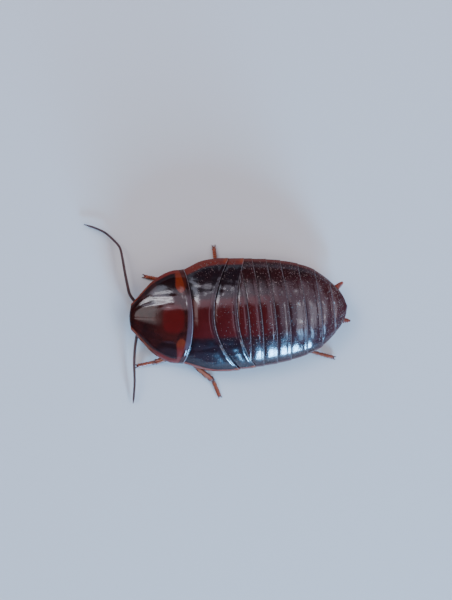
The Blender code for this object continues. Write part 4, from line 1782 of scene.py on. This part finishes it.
    def neck(self) -> None:
        """Makes the soft neck, creased like a bellows."""
        back, rise = 0.9 + 1.6 * math.sin(self.tilt), 1.6 * math.cos(self.tilt) - 0.3
        start = Vector(self.centre) + Vector((0.0, back, rise))
        end = Vector(self.neck_end)
        rings = []
        for i in range(self.neck_rings):
            share = i / (self.neck_rings - 1)
            tilt = self.neck_tilt * (1 - share)
            centre = start.lerp(end, share) + Vector((0.0, 0.0, 0.25 * math.sin(math.pi * share)))
            up = Vector((0.0, math.sin(tilt), math.cos(tilt)))
            fold = 1 + 0.06 * math.sin(i * math.pi / 2)
            thick = (0.75 + 0.45 * share) * fold
            rings.append(Ring(PLAN.free(centre), ACROSS, up, 1.5 * fold, thick))
        bm = bmesh.new()
        sweep(bm, rings, 28)
        publish(bm, "neck", MEMBRANE, ["neck"])

    def build(self) -> None:
        """Makes the head and what it carries."""
        self.capsule()
        self.mouthparts()
        self.neck()
        for side in Side:
            self.eye(side)
            self.socket_ring(side)
            self.palp(side)


def joint_marks(at: Layers) -> Layers:
    """Darkens the ends of a swept joint and lightens its middle.

    Args:
        at: The mesh's float layers.

    Returns:
        The marks.
    """
    along = at["along"]
    tip = np.maximum(plateau(along, 0.93, 2.0, 0.07), plateau(along, -1.0, 0.04, 0.05))
    return {"tip": tip * 0.7, "pale": plateau(along, 0.35, 0.7, 0.25) * 0.25, "grain": along * 0.0}


@dataclass(frozen=True)
class Feelers:
    """The long feelers: a thick scape, a short pedicel and a whip of many rings with sense hairs."""

    left: Triples = (
        (1.45, 2.96, 1.6), (1.8, 2.6, 1.25), (2.6, 2.1, 1.3), (4.1, 1.7, 1.6), (6.6, 1.3, 1.9),
        (9.7, 1.2, 1.9), (12.9, 1.35, 1.6), (15.4, 1.3, 1.1), (17.5, 1.2, 0.6),
    )
    right: Triples = (
        (-1.45, 2.96, 1.6), (-1.8, 2.5, 1.25), (-2.7, 1.5, 1.3), (-4.25, 0.3, 1.6), (-6.0, -0.2, 1.9),
        (-8.6, -0.75, 2.0), (-11.7, -1.3, 1.9), (-13.6, -1.8, 1.7), (-15.0, -3.0, 1.5),
        (-16.4, -4.6, 1.2), (-17.3, -6.5, 0.9), (-18.0, -8.7, 0.6),
    )
    scape_end: float = 0.055
    pedicel_end: float = 0.075
    scape_radius: float = 0.4
    root_radius: float = 0.33
    tip_radius: float = 0.21
    rings: int = 74
    # How much longer the rings grow toward the tip.
    ring_growth: float = 1.12
    # Shares of a ring's length, and the share of the whip's radius there.
    ring_profile: tuple[Pair, ...] = ((0.1, 0.86), (0.45, 0.97), (0.86, 1.05), (0.98, 0.8))
    hairs_per_ring: int = 5
    hair_length: float = 0.2
    hair_radius: float = 0.016

    def whip_radius(self, share: float) -> float:
        """Radius of the whip at a share of its length."""
        point = 1 - 0.6 * smooth((share - 0.93) / 0.07)
        return (self.root_radius + (self.tip_radius - self.root_radius) * share**0.9) * point

    def build(self) -> None:
        """Makes both feelers."""
        for side, points in ((Side.LEFT, self.left), (Side.RIGHT, self.right)):
            self.feeler(side, smooth_route(points, pieces=16))

    def feeler(self, side: Side, route: Route) -> None:
        """Makes one feeler with its hairs.

        Args:
            side: Which side.
            route: Points close together, in millimetres.
        """
        name = f"antenna_{side.word}"
        shares = [0.0, 0.01, self.scape_end * 0.6, self.scape_end - 0.004, self.scape_end]
        radii = [0.24, 0.36, self.scape_radius, self.scape_radius * 0.9, 0.2]
        shares += [self.scape_end + 0.003, self.pedicel_end - 0.004, self.pedicel_end]
        radii += [0.3, 0.33, 0.18]
        whip = 1 - self.pedicel_end
        steps = [(i / self.rings) ** self.ring_growth for i in range(self.rings + 1)]
        ends = [self.pedicel_end + whip * step for step in steps]
        for i, (start, end) in enumerate(zip(ends, ends[1:])):
            radius = self.whip_radius(i / self.rings)
            shares += [start + (end - start) * share for share, _ in self.ring_profile]
            radii += [radius * swell for _, swell in self.ring_profile]
        shares = [min(1.0, share) for share in shares]
        bm = bmesh.new()
        points = even_route(route, shares)
        sweep(bm, rings_along(points, [(r, r) for r in radii]), 12)
        publish(bm, name, FEELER, [name], self.marks)
        self.hairs(side, route, ends)

    def hairs(self, side: Side, route: Route, ends: Sequence[float]) -> None:
        """Makes the short hairs that lean outward on each ring.

        Args:
            side: Which side.
            route: Points close together, in millimetres.
            ends: Shares where the rings end.
        """
        draw = random.Random(5 + side.value)
        bm = bmesh.new()
        points = even_route(route, ends)
        for i, (here, ahead) in enumerate(zip(points, points[1:])):
            axis = (ahead - here).normalized()
            across = axis.cross(UP).normalized()
            lift = across.cross(axis)
            radius = self.whip_radius(i / self.rings)
            for number in range(self.hairs_per_ring):
                angle = 2 * math.pi * (number + draw.random()) / self.hairs_per_ring
                out = around(across, lift, angle)
                root = here.lerp(ahead, draw.uniform(0.5, 0.95)) + out * radius * 0.8
                length = self.hair_length * draw.uniform(0.7, 1.2)
                add_hair(bm, root, root + (out * 0.6 + axis) * length, self.hair_radius)
        publish(bm, f"antenna_hairs_{side.word}", FEELER)

    def marks(self, at: Layers) -> Layers:
        """Marks the paler scape and the dark bands at the joints of the whip.

        Args:
            at: The mesh's float layers.

        Returns:
            The marks.
        """
        along = at["along"]
        pale = plateau(along, -1.0, 0.04, 0.03) * 0.8
        band = np.where(along > 0.03, 0.5 + 0.5 * np.sin(along * (self.rings * 4 + 8) * math.pi / 2), 0.0)
        return {"pale": pale, "tip": band * 0.6, "grain": np.full_like(along, 0.5)}


@dataclass(frozen=True)
class Leg:
    """One leg: coxa, femur, tibia, five-jointed foot, and its spines, claws and bristles."""

    name: str
    joints: Triples
    # Profiles of the segments: share of the length, half width and half thickness.
    coxa_profile: Triples = (
        (0.0, 1.15, 0.6), (0.3, 1.65, 0.65), (0.7, 1.35, 0.6), (1.0, 0.65, 0.5),
    )
    femur_profile: Triples = (
        (0.0, 0.5, 0.45), (0.2, 0.8, 0.55), (0.45, 1.0, 0.6), (0.75, 0.8, 0.58), (1.0, 0.5, 0.5),
    )
    tibia_profile: Triples = (
        (0.0, 0.4, 0.4), (0.2, 0.44, 0.42), (0.7, 0.5, 0.47), (1.0, 0.5, 0.45),
    )
    tarsomere_ends: tuple[float, ...] = (0.0, 0.36, 0.54, 0.68, 0.79, 1.0)
    # Shares of a foot joint's length, and the share of the foot's radius there.
    tarsomere_profile: tuple[Pair, ...] = (
        (0.0, 0.72), (0.06, 1.0), (0.5, 1.08), (0.82, 1.28), (0.95, 1.3), (1.0, 0.85),
    )
    tarsus_radius: float = 0.32
    tarsus_flatness: float = 0.9
    cap_length: float = 0.45
    spine_lean: float = math.radians(56)
    spine_radius: float = 0.13
    # Rows of spines: degrees round the limb from its top, and shares of its length.
    tibia_spines: SpineRows = (
        (-62, (0.3, 0.55, 0.78)), (62, (0.2, 0.46, 0.74)),
        (-105, (0.42, 0.66, 0.82)), (105, (0.34, 0.58, 0.8)),
    )
    femur_spines: SpineRows = (
        (-100, (0.45, 0.66)), (100, (0.36, 0.56)),
    )
    femur_spine_length: float = 0.95
    # Degrees round the ankle at which the spurs of its crown stand.
    spur_turns: tuple[float, ...] = (-150, -95, -30, 30, 95, 150)
    spur_length: float = 0.75
    spur_radius: float = 0.11
    pad_radius: float = 0.2
    claw_length: float = 1.05
    bristles: int = 46
    bristle_radius: float = 0.018
    knee_radius: float = 0.52
    shin_radius: float = 0.42
    ankle_radius: float = 0.3

    def node(self, part: str) -> str:
        """Name of the frame's node for one of the leg's parts."""
        row, word = self.name.split("_")
        return f"{row}_{part}_{word}"

    def segment(self, index: int) -> tuple[Vector, Vector, Vector, Vector, Vector]:
        """Finds where one segment lies.

        Args:
            index: Its number, counted from the coxa.

        Returns:
            Its start and end in millimetres, and its axis, side and up directions.
        """
        start, end = Vector(self.joints[index]), Vector(self.joints[index + 1])
        axis = (end - start).normalized()
        side = axis.cross(UP).normalized()
        return start, end, axis, side, side.cross(axis)

    def limb(self, bm: BMesh, index: int, profile: Triples, rows: int, sides: int) -> None:
        """Adds one segment with a smooth profile and rounded ends.

        Args:
            bm: Where to add it.
            index: Which segment.
            profile: Share of the length, half width and half thickness.
            rows: Rings along it.
            sides: Corners of each ring.
        """
        start, end, _, side, up = self.segment(index)
        table = np.array(profile)
        rings = []
        for i in range(rows):
            share = i / (rows - 1)
            wide = float(np.interp(share, table[:, 0], table[:, 1]))
            thick = float(np.interp(share, table[:, 0], table[:, 2]))
            inside = min(1.0, (min(share, 1 - share) * (end - start).length + 0.02) / self.cap_length)
            cap = math.sqrt(1 - (1 - inside) ** 2)
            centre = start.lerp(end, 0.01 + 0.98 * share)
            rings.append(Ring(PLAN.free(centre), side, up, wide * cap, thick * cap))
        sweep(bm, rings, sides)

    def keep_off_floor(self, bm: BMesh) -> None:
        """Flattens whatever would sink into the floor."""
        for vert in bm.verts:
            vert.co.z = max(vert.co.z, 0.00001)

    def knuckle(self, bm: BMesh, index: int, radius: float) -> None:
        """Adds a round joint at the start of a segment."""
        place = Matrix.Translation(PLAN.free(self.joints[index])) @ Matrix.Scale(radius * MM, 4)
        bmesh.ops.create_icosphere(bm, subdivisions=3, radius=1.0, matrix=place)

    def spine(
        self, bm: BMesh, root: Vector, out: Vector, axis: Vector, length: float, radius: float
    ) -> None:
        """Adds one spine that bends toward the foot and stands in a small collar.

        Args:
            bm: Where to add it.
            root: Its root inside the limb, in millimetres.
            out: Direction away from the limb.
            axis: Direction toward the foot.
            length: Length from root to tip.
            radius: Radius at the root.
        """
        points = []
        for share in (0.0, 0.2, 0.28, 0.5, 0.75, 1.0):
            lean = self.spine_lean * (0.7 + 0.5 * share)
            points.append(root + (out * math.cos(lean) + axis * math.sin(lean)) * length * share)
        points = [Vector((p.x, p.y, max(p.z, 0.08))) for p in points]
        swell = (1.5, 1.5, 0.95, 0.72, 0.42, 0.05)
        sweep(bm, rings_along(points, [(radius * s, radius * s) for s in swell]), 7)

    def spine_rows(
        self, bm: BMesh, index: int, rows: SpineRows, depth: float, length: float, draw: random.Random
    ) -> None:
        """Adds the rows of spines of one segment.

        Args:
            bm: Where to add them.
            index: Which segment.
            rows: Degrees round the limb and shares of its length for each row.
            depth: Distance of the roots from the limb's axis.
            length: Usual length of a spine.
            draw: Where chance comes from.
        """
        start, end, axis, side, up = self.segment(index)
        for turn, shares in rows:
            out = around(up, side, math.radians(turn))
            for share in shares:
                root = start.lerp(end, share) + out * depth
                self.spine(bm, root, out, axis, length * draw.uniform(0.9, 1.1), self.spine_radius)

    def spines(self, draw: random.Random) -> None:
        """Makes the rows of spines on the tibia and femur, and the crown of spurs at the ankle.

        Args:
            draw: Where chance comes from.
        """
        bm = bmesh.new()
        start, end, axis, side, up = self.segment(2)
        self.spine_rows(bm, 2, self.tibia_spines, 0.2, 0.6 + 0.07 * (end - start).length, draw)
        for turn in self.spur_turns:
            out = around(up, side, math.radians(turn))
            root = start.lerp(end, 0.94) + out * 0.2
            length = self.spur_length * draw.uniform(0.8, 1.2)
            self.spine(bm, root, out * 0.6 + axis * 0.5, axis, length, self.spur_radius)
        self.spine_rows(bm, 1, self.femur_spines, 0.45, self.femur_spine_length, draw)
        self.keep_off_floor(bm)
        publish(bm, f"spines_{self.name}", SPINE, marks=spine_marks)

    def foot(self) -> None:
        """Makes the five short joints of the foot, each wider at its far end."""
        start, end, axis, side, up = self.segment(3)
        bm = bmesh.new()
        for near, far in zip(self.tarsomere_ends, self.tarsomere_ends[1:]):
            rings = []
            for share, swell in self.tarsomere_profile:
                centre = start.lerp(end, near + (far - near) * share)
                wide = self.tarsus_radius * swell
                rings.append(Ring(PLAN.free(centre), side, up, wide, wide * self.tarsus_flatness))
            sweep(bm, rings, 14)
        self.keep_off_floor(bm)
        publish(bm, f"tarsus_{self.name}", LEG, [self.node("tarsus")], joint_marks)
        bm = bmesh.new()
        pads = []
        for far in self.tarsomere_ends[1:-1]:
            spot = start.lerp(end, far - 0.02) - up * 0.22
            spot.z = max(spot.z, 0.13)
            pads.append((spot, 0.11))
        pads.append((end + axis * 0.18, 0.12))
        for spot, thick in pads:
            size = Matrix.Diagonal((self.pad_radius * MM, self.pad_radius * MM, thick * MM, 1.0))
            place = Matrix.Translation(PLAN.free(spot)) @ size
            bmesh.ops.create_icosphere(bm, subdivisions=2, radius=1.0, matrix=place)
        self.keep_off_floor(bm)
        publish(bm, f"foot_pads_{self.name}", MEMBRANE)

    def claws(self) -> None:
        """Makes the pair of hooked claws."""
        _, toe, axis, side, _ = self.segment(3)
        bm = bmesh.new()
        for hand in (-1, 1):
            out = side * hand
            steps = (
                (-0.2, 0.06, 0.02), (0.1, 0.14, 0.1), (0.4, 0.25, 0.08), (0.64, 0.32, -0.04),
                (0.76, 0.33, -0.22),
            )
            points = [toe + axis * a * self.claw_length + out * b + Vector((0, 0, c)) for a, b, c in steps]
            points = [Vector((p.x, p.y, max(p.z, 0.05))) for p in points]
            radii = [(r, r) for r in (0.15, 0.15, 0.11, 0.07, 0.015)]
            sweep(bm, rings_along(points, radii), 9)
        self.keep_off_floor(bm)
        publish(bm, f"claws_{self.name}", SPINE, marks=spine_marks)

    def hairs(self, draw: random.Random) -> None:
        """Makes the fine bristles along the tibia and foot.

        Args:
            draw: Where chance comes from.
        """
        bm = bmesh.new()
        for index, count, radius in ((2, self.bristles, 0.42), (3, self.bristles // 2, 0.26)):
            start, end, axis, side, up = self.segment(index)
            for _ in range(count):
                out = around(up, side, draw.uniform(-2.4, 2.4))
                root = start.lerp(end, draw.uniform(0.05, 0.97)) + out * radius
                tip = root + (out * 0.55 + axis * 0.6) * draw.uniform(0.25, 0.5)
                tip.z = max(tip.z, 0.05)
                add_hair(bm, root, tip, self.bristle_radius)
        publish(bm, f"bristles_{self.name}", SPINE)

    def build(self) -> None:
        """Makes the whole leg."""
        draw = random.Random(self.name)
        bm = bmesh.new()
        self.limb(bm, 0, self.coxa_profile, 24, 28)
        publish(bm, f"coxa_{self.name}", LEG, [self.node("coxa")], joint_marks)
        bm = bmesh.new()
        self.limb(bm, 1, self.femur_profile, 28, 24)
        self.knuckle(bm, 1, self.knee_radius)
        publish(bm, f"femur_{self.name}", LEG, [self.node("femur")], joint_marks)
        bm = bmesh.new()
        self.limb(bm, 2, self.tibia_profile, 24, 18)
        self.knuckle(bm, 2, self.shin_radius)
        self.knuckle(bm, 3, self.ankle_radius)
        self.keep_off_floor(bm)
        publish(bm, f"tibia_{self.name}", LEG, [self.node("tibia")], joint_marks)
        self.spines(draw)
        self.foot()
        self.claws()
        self.hairs(draw)


def spine_marks(at: Layers) -> Layers:
    """Darkens a spine toward its tip."""
    return {"tip": plateau(at["along"], 0.75, 2.0, 0.4), "grain": at["along"] * 0.0}


# Joints of each leg as (side, station, height): root, end of the coxa, knee, ankle and toe.
LEGS = (
    Leg("front_left",
        ((2.7, 8.0, 1.65), (3.6, 10.6, 1.15), (8.1, 8.9, 1.9), (9.3, 5.4, 0.8), (10.0, 2.2, 0.3))),
    Leg("front_right",
        ((-2.7, 8.0, 1.65), (-3.6, 10.6, 1.15), (-7.6, 10.1, 1.9), (-7.1, 6.5, 0.8), (-7.7, 3.6, 0.3))),
    Leg("middle_left",
        ((2.8, 12.2, 1.65), (4.1, 15.3, 1.1), (9.6, 12.9, 1.9), (13.1, 17.2, 0.8), (16.2, 18.6, 0.3))),
    Leg("middle_right",
        ((-2.8, 12.2, 1.65), (-4.1, 15.0, 1.1), (-9.1, 12.0, 1.9), (-10.3, 17.5, 0.8), (-13.3, 17.2, 0.3))),
    Leg("hind_left",
        ((3.0, 17.0, 1.65), (4.3, 21.3, 0.85), (7.8, 28.3, 0.95), (7.5, 37.2, 0.8), (8.8, 41.9, 0.3))),
    Leg("hind_right",
        ((-3.0, 17.0, 1.65), (-4.1, 20.8, 0.85), (-9.3, 26.9, 0.95), (-8.9, 35.0, 0.8), (-7.4, 38.9, 0.3))),
)


@dataclass(frozen=True)
class Cerci:
    """The pair of ringed feelers at the tail, with long hairs."""

    left: Triples = ((0.8, 41.0, 2.15), (1.2, 45.0, 2.2))
    right: Triples = ((-4.4, 40.6, 2.15), (-6.7, 43.3, 2.2))
    rings: int = 10
    # Shares of the length and the radius there.
    profile: tuple[Pair, ...] = ((0.0, 0.5), (0.25, 0.66), (0.55, 0.64), (0.85, 0.44), (1.0, 0.2))
    flatness: float = 0.85
    hair_count: int = 70
    hair_radius: float = 0.014

    def build(self) -> None:
        """Makes both cerci."""
        table = np.array(self.profile)
        for side, (root, tip) in ((Side.LEFT, self.left), (Side.RIGHT, self.right)):
            start, end = Vector(root), Vector(tip)
            points, radii = [start], [(0.2, 0.18)]
            for i in range(self.rings):
                for t, swell in ((0.06, 0.88), (0.5, 1.03), (0.92, 0.99)):
                    share = (i + t) / self.rings
                    radius = float(np.interp(share, table[:, 0], table[:, 1])) * swell
                    points.append(start.lerp(end, share))
                    radii.append((radius, radius * self.flatness))
            points.append(end)
            radii.append((0.03, 0.03))
            bm = bmesh.new()
            sweep(bm, rings_along(points, radii), 16)
            name = f"cercus_{side.word}"
            publish(bm, name, LEG, [name])
            self.hairs(side, start, end)

    def hairs(self, side: Side, start: Vector, end: Vector) -> None:
        """Makes the cercus hairs.

        Args:
            side: Which cercus.
            start: Its root, in millimetres.
            end: Its tip.
        """
        draw = random.Random(31 + side.value)
        axis = (end - start).normalized()
        across = axis.cross(UP).normalized()
        lift = across.cross(axis)
        bm = bmesh.new()
        for _ in range(self.hair_count):
            share = draw.uniform(0.2, 0.98)
            out = around(across, lift, draw.uniform(0, 2 * math.pi))
            root = start.lerp(end, share) + out * (0.45 * (1 - share) + 0.12)
            tip = root + (out + axis * 0.4) * draw.uniform(0.18, 0.38)
            add_hair(bm, root, tip, self.hair_radius)
        publish(bm, f"cercus_hairs_{side.word}", SPINE)


@dataclass(frozen=True)
class Softbox:
    """A rectangular light that hangs level, or faces the animal where it stands low.

    Its place is in metres and its size is along X and Y, or its width and height where it stands
    low. Its glow is the radiance of its face, and its turn is in degrees.
    """

    name: str
    place: Triple
    size: Pair
    glow: float
    colour: str
    turn: float = 0.0
    low: float = 0.8

    def build(self) -> None:
        """Hangs the light."""
        data = bpy.data.lights.new(self.name, "AREA")
        data.shape = "RECTANGLE"
        data.size, data.size_y = self.size
        data.energy = self.glow * math.pi * self.size[0] * self.size[1]
        data.color = linear(self.colour)[:3]
        light = bpy.data.objects.new(self.name, data)
        bpy.context.scene.collection.objects.link(light)
        light.location = self.place
        light.visible_camera = False
        light.rotation_euler.z = math.radians(self.turn)
        if self.place[2] < self.low:
            light.rotation_euler = Vector(self.place).to_track_quat("Z", "Y").to_euler()


CEILING = 1.0
JUST_UNDER = CEILING - 0.02
# Wide level panels: the grey bands on the back are their reflections.
PANELS = (
    Softbox("fore_side_ceiling", (-0.58, -0.68, CEILING), (0.72, 0.64), 2.3, "#dfd6ec"),
    Softbox("side_ceiling", (-0.68, -0.08, CEILING), (0.92, 0.56), 2.3, "#dfd6ec"),
    Softbox("rear_side_ceiling", (-0.68, 1.05, CEILING), (0.92, 1.7), 1.5, "#dcd4ee"),
    Softbox("middle_ceiling", (0.14, 0.36, CEILING), (0.72, 0.36), 1.6, "#dadaf6"),
    Softbox("tail_ceiling", (0.4, 0.96, CEILING), (1.24, 0.72), 4.2, "#dfe0f2"),
    Softbox("far_tail_ceiling", (0.4, 1.66, CEILING), (1.24, 0.66), 0.6, "#dfdcea"),
)
# Small strips give the highlights, and low windows the blue glare on the left flank.
ACCENTS = (
    Softbox("hood_strip", (-0.68, -1.2, JUST_UNDER), (0.15, 1.28), 13.0, "#f2f4ff", -20.6),
    Softbox("hood_strip_outer", (-0.85, -0.96, JUST_UNDER), (0.08, 0.56), 10.0, "#f2f4ff", -5.0),
    Softbox("hood_fill", (-0.7, -0.97, CEILING - 0.01), (0.3, 0.62), 4.0, "#eef0ff"),
    Softbox("far_corner", (-0.64, -0.68, 0.34), (0.3, 0.56), 4.0, "#d5dcf2"),
    Softbox("glint_1", (-0.8, 0.74, JUST_UNDER), (0.07, 0.2), 11.0, "#f4f6ff"),
    Softbox("glint_2", (-0.22, 0.74, JUST_UNDER), (0.05, 0.26), 14.0, "#f4f6ff"),
    Softbox("glint_3", (0.37, 0.8, JUST_UNDER), (0.07, 0.22), 15.0, "#f4f6ff"),
    Softbox("glint_4", (-0.78, -0.26, JUST_UNDER), (0.1, 0.12), 11.0, "#f4f6ff"),
    Softbox("dim_wall", (1.095, -0.233, 0.31), (0.8, 0.6), 0.5, "#b4b2ea"),
    Softbox("streak_window", (0.6, 0.53, 0.5), (0.12, 0.24), 22.0, "#8ec8ff"),
    Softbox("low_window", (0.897, 0.334, 0.18), (0.235, 0.34), 178.0, "#76c0ff"),
)


@dataclass(frozen=True)
class Studio:
    """Pale floor, soft lights and the camera at the photograph's angle."""

    picture: tuple[int, int] = (452, 600)
    pixel: float = 0.1975
    distance: float = 300.0
    tilt: float = math.radians(10.26)
    lean: float = math.radians(-5.25)
    roll: float = math.radians(-0.27)
    target: Triple = (-3.34, -10.41, 4.0)
    sensor: float = 36.0
    floor_colour: str = "#c8c6c2"
    floor_half_size: float = 1.5
    floor_roughness: float = 0.8
    floor_drop: float = 0.02
    room_colour: str = "#e4e8ee"
    room_strength: float = 0.06
    # Inner edges of three panels over the head, stepped so that their reflection ends softly.
    head_edges: Triple = (0.19, 0.29, 0.39)
    head_outer: float = 0.8

    def camera(self) -> None:
        """Places the camera over the back, tilted a little toward the head."""
        away = Vector((math.sin(self.lean), -math.sin(self.tilt), 0.0))
        away.z = math.sqrt(1 - away.length_squared)
        level = Vector((0, 1, 0)) - away * away.y
        level.normalize()
        up = away.cross(level)
        cos, sin = math.cos(self.roll), math.sin(self.roll)
        right = level * cos + up * sin
        up = up * cos - level * sin
        data = bpy.data.cameras.new("camera")
        data.sensor_width = self.sensor
        data.lens = self.sensor * self.distance / (self.picture[1] * self.pixel)
        data.clip_start = 0.01
        data.clip_end = 10.0
        camera = bpy.data.objects.new("camera", data)
        bpy.context.scene.collection.objects.link(camera)
        turn = Matrix((right, up, away)).transposed().to_4x4()
        place = (Vector(self.target) + away * self.distance) * MM
        camera.matrix_world = Matrix.Translation(place) @ turn
        bpy.context.scene.camera = camera

    def floor(self) -> None:
        """Makes the plain pale floor."""
        bm = bmesh.new()
        bmesh.ops.create_grid(bm, x_segments=1, y_segments=1, size=self.floor_half_size)
        mesh = bpy.data.meshes.new("floor")
        bm.to_mesh(mesh)
        bm.free()
        material = bpy.data.materials.new("pale_studio_paper")
        material.use_nodes = True
        shader = material.node_tree.nodes["Principled BSDF"]
        shader.inputs["Base Color"].default_value = linear(self.floor_colour)
        shader.inputs["Roughness"].default_value = self.floor_roughness
        mesh.materials.append(material)
        floor = bpy.data.objects.new("floor", mesh)
        floor.location.z = -self.floor_drop * MM
        bpy.context.scene.collection.objects.link(floor)

    def world(self) -> None:
        """Adds the faint even light of a pale room."""
        world = bpy.data.worlds.new("pale_room")
        world.use_nodes = True
        back = world.node_tree.nodes["Background"]
        back.inputs["Color"].default_value = linear(self.room_colour)
        back.inputs["Strength"].default_value = self.room_strength
        bpy.context.scene.world = world

    def build(self) -> None:
        """Sets the stage."""
        self.camera()
        self.floor()
        self.world()
        for light in PANELS:
            light.build()
        for number, edge in enumerate(self.head_edges, start=1):
            width = edge + self.head_outer
            place = (edge - width / 2, -1.5, CEILING + 0.001 * number)
            Softbox(f"head_ceiling_{number}", place, (width, 1.3), 0.93, "#e6dfe2").build()
        for light in ACCENTS:
            light.build()


def main() -> None:
    """Builds the animal piece by piece, then its stage."""
    logging.basicConfig(level=logging.INFO, format="%(name)s %(message)s")
    Studio().build()
    plates = BackPlates()
    plates.build()
    Granules().build(plates)
    Underbody().build()
    Head().build()
    Feelers().build()
    for leg in LEGS:
        leg.build()
    Cerci().build()


if __name__ == "__main__":
    main()
